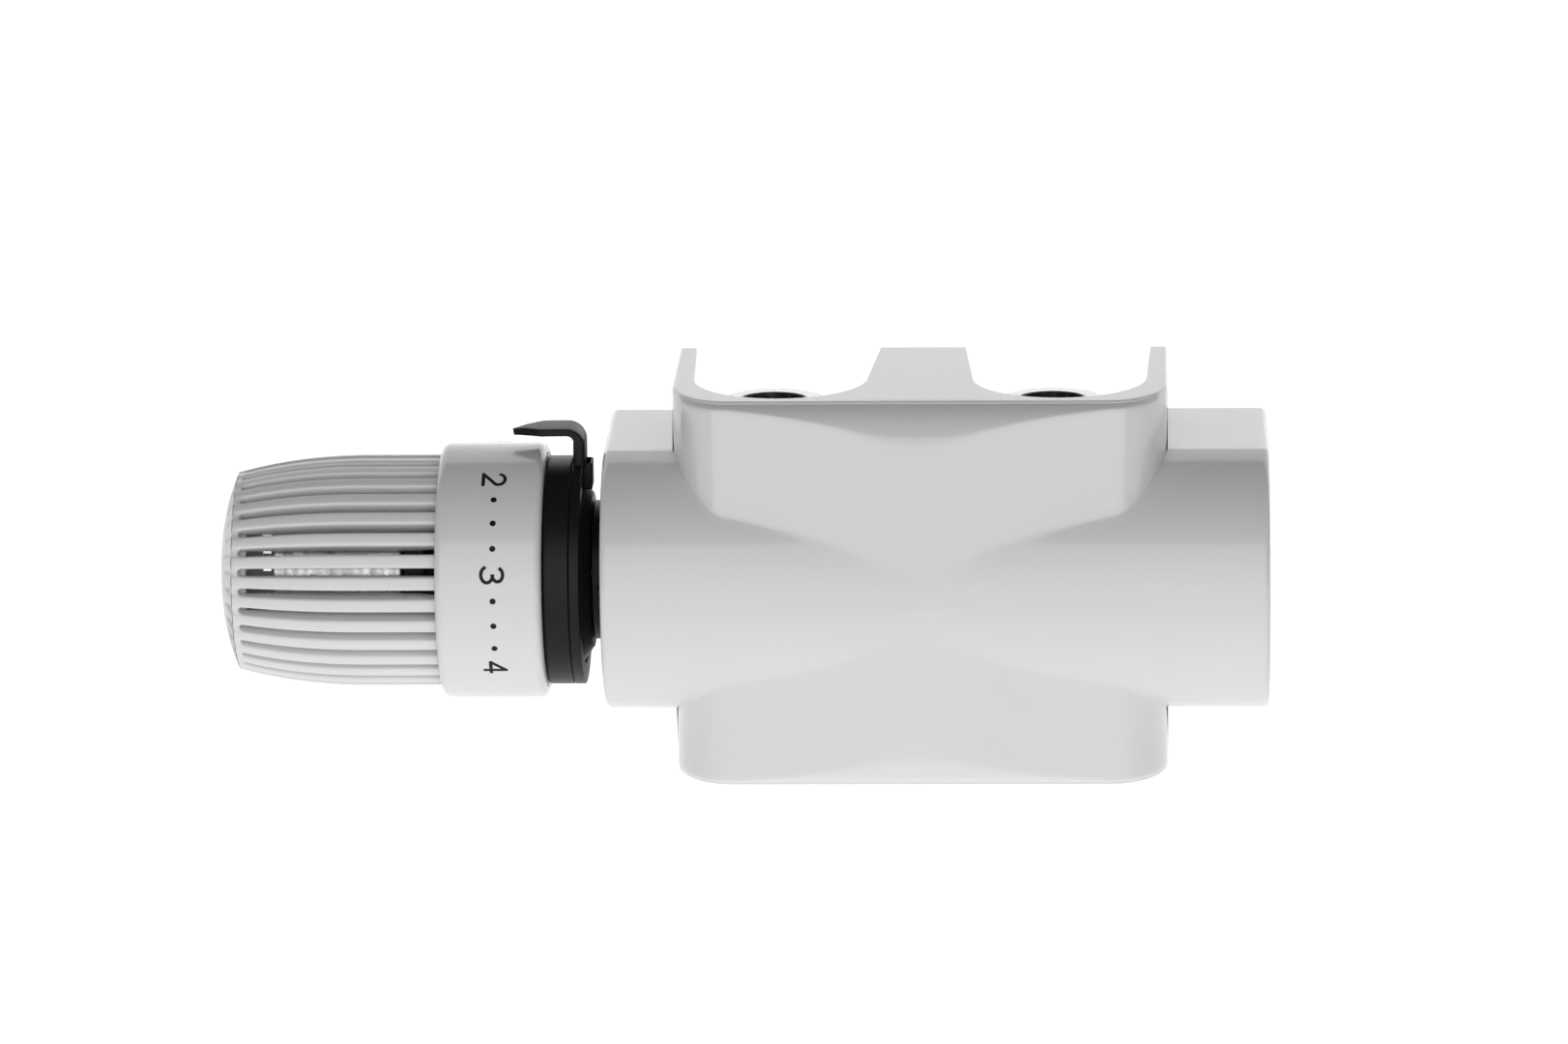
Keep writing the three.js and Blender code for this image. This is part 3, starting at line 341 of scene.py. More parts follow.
def cover_sheet(inset):
    """Grid of points of the cover's outer (inset 0) or inner sheet, and its column kinds.

    The columns run from the neck slot in the left end wall, over the left stub, the tower and
    the right stub, to the middle of the closed right end wall.
    """
    outer_x, inner_x, in_cut = tower_columns()
    x = inner_x if inset else outer_x
    circle = np.sqrt(np.maximum(CUT_RADIUS ** 2 - (np.abs(outer_x) - PORT_HALF) ** 2, 0))
    cut_end = AXIS_DEPTH + np.where(in_cut, circle, 0)
    tower_d, tower_z = tower_rows(x, inset, cut_end)
    tower_x = np.repeat(x[None, :], len(tower_d), 0)
    taper = np.clip(1 - tower_d[-ROWS["back"] - 1:] / AXIS_DEPTH, 0, 1)
    cut_inner, cut_outer = PORT_HALF - CUT_RADIUS, PORT_HALF + CUT_RADIUS
    side = TOWER_HALF_WIDTH - inset
    tongue_scale = 1 - taper * (1 - TONGUE_BACK / cut_inner)
    ear_scale = 1 - taper * (1 - (TOWER_HALF_WIDTH - EAR_BACK - side) / (cut_outer - side))
    ear_x = np.sign(x) * (side + (np.abs(x) - side) * ear_scale)
    back_x = np.where(np.abs(x) <= cut_inner + 1e-9, x * tongue_scale, ear_x)
    tower_x[-ROWS["back"] - 1:] = np.where(in_cut & ~edge_of_cut(outer_x), x, back_x)

    stub_d, stub_z = barrel_rows(inset)
    left = cover_low[0] - COVER_X + inset
    right = cover_high[0] - COVER_X - inset
    round_angle = np.linspace(0, math.pi / 2, 6)
    stub_steps = np.linspace(0, 1, 7)
    side_x = TOWER_HALF_WIDTH - inset
    slot_d, slot_z = neck_slot(stub_d, stub_z)
    pieces = []

    def cap_columns(end, sign, goal_d, goal_z, count):
        """End wall from the goal outline to the rounded edge of the barrel's outline."""
        reach_d, reach_z = goal_d - stub_d, goal_z - stub_z
        reach = np.hypot(reach_d, reach_z) + 1e-12
        start = 1 - END_ROUND / reach
        lean = END_LEAN if sign < 0 else 0
        for s in np.linspace(0, 1, count):
            share = 1 - s * np.clip(start, 0, 1)
            yield (end + lean * stub_d, stub_d + reach_d * share, stub_z + reach_z * share)
        for a in round_angle[1:]:
            inward = END_ROUND * (1 - np.sin(a)) / reach
            x_in = end - sign * END_ROUND * (1 - np.cos(a))
            yield (x_in + lean * stub_d, stub_d + reach_d * inward, stub_z + reach_z * inward)

    pieces += cap_columns(left, -1, slot_d, slot_z, 6)
    for s in stub_steps[1:]:
        start = left + END_ROUND + END_LEAN * stub_d
        pieces.append((start + s * (-side_x - start), stub_d, stub_z))
    first_tower = len(pieces)
    pieces.append((tower_x, tower_d, tower_z))
    for s in stub_steps[:-1]:
        pieces.append((np.full_like(stub_d, side_x + s * (right - END_ROUND - side_x)), stub_d, stub_z))
    centre = np.zeros_like(stub_d)
    pieces += list(cap_columns(right, 1, centre, centre, 8))[::-1]
    grid = [np.concatenate([piece[k] for piece in pieces], axis=1) for k in range(3)]
    return grid, first_tower, in_cut


def edge_of_cut(x):
    """True for the two columns that run along the straight sides of a cut-out."""
    away = np.abs(np.abs(x) - PORT_HALF)
    return np.abs(away - CUT_RADIUS) < 1e-9


def neck_slot(depth, z):
    """Outline of the neck's slot, point by point for a barrel outline: round, then straight back."""
    angle = np.arctan2(z, np.maximum(depth - AXIS_DEPTH, 0))
    front = depth >= AXIS_DEPTH
    slot_d = np.where(front, AXIS_DEPTH + NECK_CUT_RADIUS * np.cos(angle), depth)
    slot_z = np.where(front, NECK_CUT_RADIUS * np.sin(angle), NECK_CUT_RADIUS)
    return slot_d, slot_z


def both_halves(grid):
    """Adds the lower half of the rows, as the mirror of the upper half."""
    x, depth, z = grid
    full = [np.concatenate([part[:0:-1], part]) for part in (x, depth)]
    full_z = np.concatenate([-z[:0:-1], z])
    return np.stack([COVER_X + full[0], BACK - full[1], AXIS_Z + full_z], -1)


def cover():
    """One moulded shell: an outer and an inner sheet joined by the rims of all its openings."""
    outer, first_tower, in_cut = cover_sheet(0)
    inner, _, _ = cover_sheet(COVER_WALL)
    outer_points, inner_points = both_halves(outer), both_halves(inner)
    rows, columns = outer_points.shape[:2]
    keep = np.ones((rows - 1, columns - 1), bool)
    between = in_cut[:-1] & in_cut[1:]
    for index in np.nonzero(between)[0]:
        column = first_tower + index
        keep[:ROWS["back"], column] = False
        keep[rows - 1 - ROWS["back"]:, column] = False
    quads = grid_faces(rows, columns, keep=keep)
    shift = rows * columns
    rims = rim_faces(quads, shift)
    faces = np.concatenate([quads, quads[:, ::-1] + shift, rims])
    points = np.concatenate([outer_points.reshape(-1, 3), inner_points.reshape(-1, 3)])
    obj = add_mesh("cover", points, faces, "cover", ["cover_shell"])
    weld(obj, 2e-6)
    return obj


cover_piece = cover()

# ---- Head ----------------------------------------------------------------------------------
def at(mm):
    """x in the frame for a distance in millimetres to the right of the valve's middle."""
    return VALVE_X + mm * MM


RING_LEFT, RING_RIGHT = at(-85), at(-66)
RING_RADIUS = 23.1 * MM
RING_INNER = 21.2 * MM
RING_ROUND = 1.6 * MM
CAGE_RADIUS = 20.9 * MM
CAGE_BORE = 16.2 * MM
CAGE_END = at(-121.8)
CAGE_END_RADIUS = 17.9 * MM
CAGE_TAPER = 24 * MM
HUB_BORE = 17.2 * MM
HUB_STEP = at(-87.9), at(-85.9)                     # where the basket's bore widens to the hub's
SLOT_LEFT, SLOT_RIGHT = at(-120.6), at(-84.6)
SLOT_HALF = 0.78 * MM
SLOT_COUNT = 32
SLOT_PHASE = 0.18                                   # where the first slot is, in slot pitches
RIB_ROUND = 0.5 * MM
GROOVE_DEPTH = 0.5 * MM                             # grooves that run on from the slots over the end
BASE_LEFT, BASE_RIGHT = at(-65.7), at(-57.8)
BASE_RADIUS = 20.65 * MM
NECK_RADIUS = 12.55 * MM
NUMBER_THREE = 12.2                                 # degrees above the front, at rest
NUMBER_STEP = 46.8                                  # degrees between two numbers


def corner(x, radius, turn, start, end, steps=8):
    """Points of a rounded corner in an (along, radius) outline, angles in degrees."""
    angle = np.radians(np.linspace(start, end, steps + 1))
    return [(x + turn * math.cos(a), radius + turn * math.sin(a)) for a in angle]


def add_turned(name, profile, body, nodes, steps=96):
    """Makes an object of an outline turned about the valve axis."""
    points, faces = turned(profile, steps)
    obj = add_mesh(name, points, faces, body, nodes)
    weld(obj)
    return obj


def scale_ring():
    """Round band with softly rounded outer corners and a small chamfer inside."""
    small = 0.3 * MM
    profile = corner(RING_LEFT + RING_ROUND, RING_RADIUS - RING_ROUND, RING_ROUND, 180, 90)
    profile += corner(RING_RIGHT - RING_ROUND, RING_RADIUS - RING_ROUND, RING_ROUND, 90, 0)
    profile += [(RING_RIGHT, RING_INNER + small), (RING_RIGHT - small, RING_INNER),
                (RING_LEFT + small, RING_INNER), (RING_LEFT, RING_INNER + small)]
    return add_turned("scale_ring_skin", profile, "handwheel", ["scale_ring"], 192)


def cage_radius(x):
    """Outer radius of the ribbed basket: straight, then drawn in towards its end."""
    t = np.clip((CAGE_END + CAGE_TAPER - x) / CAGE_TAPER, 0, 1)
    return CAGE_RADIUS - (CAGE_RADIUS - CAGE_END_RADIUS) * t ** 2.2


def groove(share):
    """Cross-section of a groove: 1 in its middle and 0 half a pitch away."""
    return (0.5 + 0.5 * np.cos(TURN * share)) ** 2.5


def cage():
    """Basket of 32 ribs: a turned wall with round-ended slots, whose edges are all rounded.

    A point's radius falls by a quarter circle within RIB_ROUND of the nearest slot.
    """
    ends = SLOT_HALF * (1 - np.cos(np.linspace(0, math.pi / 2, 7)))
    fade = RIB_ROUND * np.array([1.0, 0.6, 0.25])
    x = np.concatenate([
        [CAGE_END], CAGE_END + 0.25 * MM * np.array([0.3, 1.0]),
        SLOT_LEFT - fade, SLOT_LEFT + ends,
        np.linspace(SLOT_LEFT, SLOT_RIGHT, 28)[2:-2],
        (SLOT_RIGHT - ends)[::-1], SLOT_RIGHT + fade[::-1],
        HUB_STEP, [SLOT_RIGHT + 2 * MM, RING_RIGHT],
    ])
    x = np.sort(x)
    from_end = np.minimum(x - SLOT_LEFT, SLOT_RIGHT - x)
    reach = np.clip(SLOT_HALF - from_end, 0, SLOT_HALF)
    half = np.where(from_end >= 0, np.sqrt(np.maximum(SLOT_HALF ** 2 - reach ** 2, 0)), SLOT_HALF)
    pitch = TURN * CAGE_RADIUS / SLOT_COUNT
    steps = RIB_ROUND * np.array([0, 0.12, 0.35, 0.65, 1.0])
    middle = pitch / 2 - SLOT_HALF - RIB_ROUND
    side = np.concatenate([steps, RIB_ROUND + middle * np.array([0.5, 1.0])])
    s = half[:, None] + side[None, :] * ((pitch / 2 - half) / (pitch / 2 - SLOT_HALF))[:, None]
    cell = np.concatenate([s, pitch - s[:, -2::-1]], axis=1)
    per = cell.shape[1]
    turn = (np.arange(SLOT_COUNT) + SLOT_PHASE) * TURN / SLOT_COUNT
    angle = (turn[None, :, None] + cell[:, None, :] / CAGE_RADIUS).reshape(len(x), -1)
    near = np.minimum(cell, pitch - cell)
    axial = np.maximum(np.maximum(SLOT_LEFT + SLOT_HALF - x, x - SLOT_RIGHT + SLOT_HALF), 0)
    away = np.hypot(axial[:, None], near) - SLOT_HALF
    drop = np.clip(1 - away / RIB_ROUND, 0, 1)
    fall = RIB_ROUND * (1 - np.sqrt(1 - drop ** 2))
    fall = np.tile(fall, (1, SLOT_COUNT))
    crowned = 0.12 * MM * (np.minimum(near, pitch / 2) - pitch / 2) ** 2 / (pitch / 2) ** 2
    crowned = np.tile(crowned * (from_end > 0)[:, None], (1, SLOT_COUNT))
    furrow = np.tile(GROOVE_DEPTH * groove(near / pitch), (1, SLOT_COUNT))
    furrow *= np.clip((SLOT_LEFT + 2 * SLOT_HALF - x) / SLOT_HALF, 0, 1)[:, None]
    outer_r = cage_radius(x)[:, None] - np.maximum(fall, furrow) - crowned
    outer_r[:3] -= np.array([0.25, 0.05, 0.0])[:, None] * MM
    inner_r = np.interp(x, HUB_STEP, (CAGE_BORE, HUB_BORE))[:, None] + 0 * outer_r
    outer = on_axis(x[:, None], outer_r, angle)
    inner = on_axis(x[:, None], inner_r, angle)
    rows, columns = outer.shape[:2]
    keep = np.ones((rows - 1, columns), bool)
    in_slot = (from_end[:-1] + from_end[1:]) / 2 > 0
    keep[np.ix_(in_slot, np.arange(SLOT_COUNT) * per + per - 1)] = False
    quads = grid_faces(rows, columns, wrap=True, keep=keep)
    rims = rim_faces(quads, rows * columns)
    faces = np.concatenate([quads, quads[:, ::-1] + rows * columns, rims])
    points = np.concatenate([outer.reshape(-1, 3), inner.reshape(-1, 3)])
    obj = add_mesh("ribbed_basket", points, faces, "handwheel", ["handwheel_cage"])
    weld(obj)
    return obj


def end_disc():
    """Domed lid: a crown whose grooves run on from the basket's slots, and a spigot inside it."""
    rim = CAGE_END - 0.04 * MM
    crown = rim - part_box("end_disc")[0][0] - 0.02 * MM
    steps = 16 * SLOT_COUNT
    turn = np.arange(steps) * TURN / steps
    t = np.concatenate([np.linspace(0, 0.7, 12), np.linspace(0.7, 1, 22)[1:]])[:, None]
    rise = crown * (1 - t ** 2.6)
    fade = np.clip((t - 0.74) / 0.16, 0, 1)
    fade = fade * fade * (3 - 2 * fade)
    sunk = GROOVE_DEPTH * fade * groove(turn * SLOT_COUNT / TURN - SLOT_PHASE)[None, :]
    x = rim - rise + sunk * 0.9
    radius = CAGE_END_RADIUS * t - sunk * t
    x[-1] = rim
    dome = on_axis(x, radius, turn[None, :]).reshape(-1, 3)
    spigot = CAGE_BORE - 0.3 * MM
    back = np.array([(rim, spigot), (rim + 2.4 * MM, spigot), (rim + 2.4 * MM, spigot - 2 * MM),
                     (rim - 0.3 * MM, spigot - 2 * MM), (rim - 0.3 * MM, 0)])
    inside = on_axis(back[:, :1], back[:, 1:], turn[None, :]).reshape(-1, 3)
    points = np.concatenate([dome, inside])
    faces = grid_faces(len(t) + len(back), steps, wrap=True)
    obj = add_mesh("end_lid", points, faces, "handwheel", ["end_disc"])
    weld(obj)
    return obj


def base():
    """Black base: a flat flange, a cone with a shallow groove, and the tube in the hub."""
    web, small = 4 * MM, 0.3 * MM
    tube_left, tube_radius, bore = at(-85.6), 16.9 * MM, 12.9 * MM
    flange_right = at(-61.2)
    profile = [(tube_left, bore), (tube_left, tube_radius - small), (tube_left + small, tube_radius),
               (BASE_LEFT, tube_radius)]
    profile += corner(BASE_LEFT + small, BASE_RADIUS - small, small, 180, 90, 4)
    profile += corner(flange_right - small, BASE_RADIUS - small, small, 90, 0, 4)
    profile += [(flange_right, 16.7 * MM)]
    profile += corner(at(-59.6) - small, 16.7 * MM - small, small, 90, 30, 4)
    profile += corner(BASE_RIGHT - small, 14.15 * MM - small, small, 60, 0, 4)
    profile += [(BASE_RIGHT, 9 * MM), (BASE_LEFT + web, 9 * MM), (BASE_LEFT + web, 2.8 * MM),
                (BASE_LEFT, 2.8 * MM), (BASE_LEFT, bore)]
    return add_turned("base_skin", profile, "valve", ["base_socket"], 144)


def pointer():
    """Black collar with a pointed strap bent over the scale ring, and a small tab beside it.

    The strap is a path in the plane of the axis: up from the collar, round a bend and along to
    the tip, carrying a flat oval section that narrows to a point.
    """
    left, right = at(-61.15), at(-59.3)
    top = 27.0 * MM
    thick = 1.5 * MM
    small = 0.15 * MM
    collar = [(left, 17.0 * MM), (left, BASE_RADIUS - small), (left + small, BASE_RADIUS),
              (right - small, BASE_RADIUS), (right, BASE_RADIUS - small), (right, 17.0 * MM)]
    points, faces = turned(collar, 144)
    middle_x = (left + right) / 2 + 0.3 * MM
    bend = 2.2 * MM
    mid_top = top - thick / 2
    up = [(middle_x, r) for r in np.linspace(BASE_RADIUS - 0.8 * MM, mid_top - bend, 7)]
    angle = np.linspace(0, math.pi / 2, 13)[1:]
    bent = [(middle_x - bend + bend * math.cos(a), mid_top - bend + bend * math.sin(a)) for a in angle]
    tip_x = at(-71.9)
    t = np.linspace(0, 1, 25)[1:]
    run_x = bent[-1][0] + (tip_x - bent[-1][0]) * t
    run_r = mid_top - 0.6 * MM * t ** 3
    path = np.array(up + bent + list(zip(run_x, run_r)))
    step = np.gradient(path, axis=0)
    step /= np.linalg.norm(step, axis=1)[:, None]
    normal = np.stack([step[:, 1], -step[:, 0]], -1)
    to_tip = path[:, 0] - tip_x
    on_run = path[:, 1] > mid_top - bend
    half = np.where(on_run, 3.9 * MM * np.clip(0.05 + to_tip / (5.5 * MM), 0.05, 1), 3.9 * MM)
    thin = np.where(on_run, np.clip(0.8 + to_tip / (12 * MM), 0.8, 1), 1) * thick / 2
    to_bend = np.clip((path[:, 1] - mid_top + bend) / bend, 0, 1)
    thin *= np.where(path[:, 0] > middle_x - bend, 1.5 - 0.5 * to_bend, 1)
    around = np.linspace(0, TURN, 25)[:-1]
    power = 0.35
    across = np.sign(np.cos(around)) * np.abs(np.cos(around)) ** power
    through = np.sign(np.sin(around)) * np.abs(np.sin(around)) ** power
    x = path[:, :1] + normal[:, :1] * thin[:, None] * through[None, :]
    r = path[:, 1:] + normal[:, 1:] * thin[:, None] * through[None, :]
    y = AXIS_Y - half[:, None] * across[None, :]
    strap = np.stack([x, y, AXIS_Z + r], -1)
    rows, columns = strap.shape[:2]
    quads = grid_faces(rows, columns, wrap=True)
    caps = [tuple(range(columns))[::-1], tuple((rows - 1) * columns + k for k in range(columns))]
    tab = rounded_block(right - 0.5 * MM, right + 1.6 * MM, AXIS_Y - 2.5 * MM, AXIS_Y + 2.5 * MM,
                        AXIS_Z + BASE_RADIUS - 5.2 * MM, AXIS_Z + BASE_RADIUS - 0.3 * MM)
    points, faces = merge([(points, faces), (strap.reshape(-1, 3), list(quads) + caps), tab])
    obj = add_mesh("pointer_skin", points, faces, "valve", ["pointer_ring"])
    weld(obj)
    return obj


def rounded_block(x0, x1, y0, y1, z0, z1, turn=0.3 * MM):
    """Box with softened corners: a sphere whose points are pulled apart by the box's inner size."""
    lat = np.linspace(-math.pi / 2, math.pi / 2, 14)[:, None]
    lon = (np.arange(24) * TURN / 24 + 0.13)[None, :]
    unit = np.stack([np.cos(lat) * np.cos(lon), np.cos(lat) * np.sin(lon), np.sin(lat) + 0 * lon], -1)
    low, high = np.array([x0, y0, z0]) + turn, np.array([x1, y1, z1]) - turn
    points = np.where(unit > 0, high, low) + unit * turn
    return points.reshape(-1, 3), grid_faces(14, 24, wrap=True)


def neck():
    """Black neck with six narrow slits, and its flange inside the union nut."""
    left, flange, right = at(-57.5), at(-50.6), at(-48.8)
    deep = 1.2 * MM
    slit_half = 0.6 * MM
    x = np.concatenate([[left, left + 0.15 * MM], [left + 1 * MM] * 2, [flange - 1 * MM] * 2,
                        [flange, flange, flange + 0.25 * MM, right - 0.25 * MM, right]])
    radius = np.concatenate([[NECK_RADIUS - 0.15 * MM], [NECK_RADIUS] * 6,
                             [14.45 * MM, 14.7 * MM, 14.7 * MM, 14.45 * MM]])
    in_slit = np.array([0, 0, 0, 1, 1, 0, 0, 0, 0, 0, 0], bool)
    half = slit_half / NECK_RADIUS
    cell = np.concatenate([[-half, -half, half, half], np.linspace(half, TURN / 6 - half, 18)[1:-1]])
    cut = np.concatenate([[0, 1, 1, 0], np.zeros(16)]).astype(bool)
    angle = (np.arange(6)[:, None] * TURN / 6 + cell[None, :]).reshape(-1)
    cuts = np.tile(cut, 6)
    outer_r = radius[:, None] - deep * (in_slit[:, None] & cuts[None, :])
    outer = on_axis(x[:, None], outer_r, angle[None, :])
    inner = on_axis(x[:, None], 9 * MM + 0 * outer_r, angle[None, :])
    rows, columns = outer.shape[:2]
    quads = grid_faces(rows, columns, wrap=True)
    rims = rim_faces(quads, rows * columns)
    faces = np.concatenate([quads, quads[:, ::-1] + rows * columns, rims])
    points = np.concatenate([outer.reshape(-1, 3), inner.reshape(-1, 3)])
    obj = add_mesh("neck_skin", points, faces, "valve", ["neck_sleeve"])
    weld(obj)
    return obj


def sensor():
    """Bright thin-walled can with pressed beads around it and a rolled edge at each end."""
    left, right, radius = at(-115), at(-91.2), 14.2 * MM
    x = np.linspace(left + 2 * MM, right - 1 * MM, 90)
    bead = 0.07 * MM * (1 - np.cos((x - x[0]) / (x[-1] - x[0]) * TURN * 9)) / 2
    profile = [(left, 0)] + corner(left + 1 * MM, radius - 1 * MM, 1 * MM, 180, 90)
    profile += list(zip(x[1:-1], radius - bead[1:-1]))
    profile += corner(right - 1 * MM, radius - 1 * MM, 1 * MM, 90, 0, 5) + [(right, 0)]
    return add_turned("sensor_can_skin", profile, "sensor", ["sensor_can"], 96)


DIGITS = {
    "0": [[(0.5 + 0.5 * math.cos(a), 0.5 + 0.5 * math.sin(a)) for a in np.linspace(0, TURN, 41)]],
    "1": [[(0.22, 0.76), (0.62, 1.0), (0.62, 0.0)]],
    "2": [[(0.5 + 0.45 * math.cos(a), 0.70 + 0.30 * math.sin(a)) for a in np.linspace(2.9, -0.5, 24)]
          + [(0.05, 0.0)], [(0.0, 0.0), (1.0, 0.0)]],
    "3": [[(0.48 + 0.42 * math.cos(a), 0.76 + 0.24 * math.sin(a)) for a in np.linspace(2.7, -1.5, 24)],
          [(0.48 + 0.48 * math.cos(a), 0.27 + 0.27 * math.sin(a)) for a in np.linspace(1.5, -2.8, 24)]],
    "4": [[(0.74, 0.0), (0.74, 1.0)], [(0.74, 1.0), (0.0, 0.3)], [(0.0, 0.3), (1.0, 0.3)]],
    "5": [[(0.9, 1.0), (0.2, 1.0), (0.12, 0.5)]
          + [(0.47 + 0.5 * math.cos(a), 0.31 + 0.33 * math.sin(a)) for a in np.linspace(2.3, -2.5, 24)]],
}


def stroke(line, width, wide, tall, x_base, angle_middle):
    """Thin flat stroke along a digit's line, laid on the ring; the digit's top points right."""
    line = np.asarray(line, float)
    fine = [line[:1]]
    for a, b in zip(line[:-1], line[1:]):
        count = max(1, int(np.hypot(*(b - a)) / 0.08))
        fine.append(a + (b - a) * np.linspace(0, 1, count + 1)[1:, None])
    line = np.concatenate(fine) * [wide, tall] - [wide / 2, 0]
    step = np.gradient(line, axis=0)
    step /= np.linalg.norm(step, axis=1)[:, None]
    line[0] -= step[0] * width * 0.3
    line[-1] += step[-1] * width * 0.3
    normal = np.stack([-step[:, 1], step[:, 0]], -1) * width / 2
    flat = np.stack([line + normal, line - normal, line - normal, line + normal], 1)
    radius = RING_RADIUS + np.array([0.03, 0.03, -0.05, -0.05]) * MM
    points = on_axis(x_base + flat[..., 1], radius[None, :], angle_middle - flat[..., 0] / RING_RADIUS)
    rows = len(line)
    last = 4 * (rows - 1)
    ends = [(3, 2, 1, 0), (last, last + 1, last + 2, last + 3)]
    faces = list(grid_faces(rows, 4, wrap=True)) + ends
    return points.reshape(-1, 3), faces


def scale_marks():
    """Printed numbers 0 to 5 and three dots from 2 to 3 and from 3 to 4, as thin pads on the scale ring."""
    parts = []
    for number in range(6):
        angle = math.radians(NUMBER_THREE + (3 - number) * NUMBER_STEP)
        for line in DIGITS[str(number)]:
            parts.append(stroke(line, 0.62 * MM, 2.9 * MM, 3.9 * MM, at(-76.55), angle))
        for dot in range(1, 4):
            if number not in (2, 3):
                continue
            here = angle - math.radians(dot * NUMBER_STEP / 4)
            turn = np.arange(20) * TURN / 20
            for_top = on_axis(at(-74.5) + 0.55 * MM * np.cos(turn), RING_RADIUS + 0.03 * MM,
                              here + 0.55 * MM * np.sin(turn) / RING_RADIUS)
            for_bottom = on_axis(at(-74.5) + 0.55 * MM * np.cos(turn), RING_RADIUS - 0.05 * MM,
                                 here + 0.55 * MM * np.sin(turn) / RING_RADIUS)
            k = np.arange(20)
            walls = np.stack([k, (k + 1) % 20, (k + 1) % 20 + 20, k + 20], -1)
            parts.append((np.concatenate([for_top, for_bottom]),
                          list(walls) + [tuple(range(20))[::-1], tuple(range(20, 40))]))
    points, faces = merge(parts)
    obj = add_mesh("scale_marks", points, faces, "handwheel", smooth=False)
    weld(obj, 1e-7)
    return obj


ring_skin, basket, lid = scale_ring(), cage(), end_disc()
marks = scale_marks()
base_skin, pointer_skin, neck_skin, can = base(), pointer(), neck(), sensor()


# ---- Connections ---------------------------------------------------------------------------
THREAD_PITCH = 1.81 * MM
THREAD_DEPTH = 0.9 * MM
THREAD_LEAD = 0.9 * MM                              # chamfer at both ends of the thread
TAIL_RADIUS = 10.48 * MM
TAIL_NECK_RADIUS = 8.6 * MM
TAIL_BORE = 6.7 * MM
TAIL_COLLAR = 1.7 * MM
THREAD_LENGTH = 4.6 * MM
THREAD_ROWS = 61
NUT_CHAMFER = 1.4 * MM                              # length of a nut's chamfer along its axis
NUT_FACE = 0.98                                     # radius of a nut's end face, over half its flats
NUT_CONE = 1.7                                      # how fast the chamfer's cone widens


def tail_piece(side):
    """Threaded tail on a collar: in the thread the radius is a wave that climbs a pitch a turn."""
    low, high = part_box("tail_piece_" + side)
    centre = (low[0] + high[0]) / 2
    collar = (high[0] - low[0]) / 2
    small = 0.2 * MM
    start = high[2] - THREAD_LENGTH
    thread_z = np.linspace(start, high[2], THREAD_ROWS)
    z = [low[2], low[2], low[2] + small, low[2] + TAIL_COLLAR - small, low[2] + TAIL_COLLAR,
         low[2] + TAIL_COLLAR, start]
    radius = [TAIL_BORE, collar - small, collar, collar, collar - small, TAIL_NECK_RADIUS, TAIL_NECK_RADIUS]
    first = len(z)
    z = np.concatenate([z, thread_z, [high[2], high[2] - small]])
    radius = np.concatenate([radius, np.full(THREAD_ROWS, TAIL_RADIUS), [TAIL_BORE + small, TAIL_BORE]])
    steps = 96
    angle = np.arange(steps) * TURN / steps
    wave = 0.5 + 0.5 * np.cos(TURN * (z[:, None] / THREAD_PITCH - angle[None, :] / TURN))
    in_thread = np.zeros(len(z), bool)
    in_thread[first:first + THREAD_ROWS] = True
    from_end = np.minimum(z - start, high[2] - z)
    lead = np.clip(1 - from_end / THREAD_LEAD, 0, 1) * in_thread
    cut = THREAD_DEPTH * np.maximum(wave ** 1.3, lead[:, None]) * in_thread[:, None]
    grid_radius = radius[:, None] - cut
    points = np.stack([centre + grid_radius * np.cos(angle), AXIS_Y + grid_radius * np.sin(angle),
                       np.repeat(z[:, None], steps, 1)], -1)
    rows = len(z)
    faces = grid_faces(rows + 1, steps, wrap=True) % (rows * steps)
    obj = add_mesh("tail_" + side, points.reshape(-1, 3), faces, "valve",
                   ["tail_piece_" + side])
    weld(obj)
    return obj


def hexagon_nut(name, node, upright, flats, bore, lip, bore_wide):
    """Hexagon nut: its radius is the smaller of a hexagon's and of a cone's at each end.

    "lip" is how thick the end with the small bore is; behind it the bore widens.
    """
    low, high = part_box(node)
    along = 2 if upright else 0
    start, end = low[along], high[along]
    half = flats / 2
    rise = NUT_CHAMFER * np.linspace(0, 1, 9) ** 1.3
    x = np.concatenate([start + rise, (end - rise)[::-1]])
    steps = 120
    angle = np.arange(steps) * TURN / steps
    hexagon = half / np.cos(angle % (TURN / 6) - TURN / 12)
    cone = half * NUT_FACE + NUT_CONE * np.minimum(x - start, end - x)
    outer = np.minimum(hexagon[None, :], cone[:, None])
    if upright:
        inside = [(end, bore), (end - lip, bore), (end - lip, bore_wide), (start, bore_wide)]
    else:
        inside = [(end, bore_wide), (start + lip, bore_wide), (start + lip, bore), (start, bore)]
    x = np.concatenate([x, [point[0] for point in inside]])
    radius = np.concatenate([outer, np.repeat([[point[1]] for point in inside], steps, 1)])
    if upright:
        centre = (low[0] + high[0]) / 2
        points = np.stack([centre + radius * np.cos(angle), AXIS_Y + radius * np.sin(angle),
                           np.repeat(x[:, None], steps, 1)], -1)
    else:
        points = on_axis(x[:, None], radius, angle[None, :])
    rows = len(x)
    faces = grid_faces(rows + 1, steps, wrap=True) % (rows * steps)
    obj = add_mesh(name, points.reshape(-1, 3), faces, "valve", [node])
    weld(obj)
    return obj


tail_pieces = [tail_piece("left"), tail_piece("right")]
union_nuts = [
    hexagon_nut("union_" + side, "union_nut_" + side, True, 26 * MM, 8.9 * MM, 2.2 * MM, 11.1 * MM)
    for side in ("left", "right")
]
head_nut = hexagon_nut("head_nut", "head_union_nut", False, 32 * MM, 12.85 * MM, 2 * MM, 15.3 * MM)


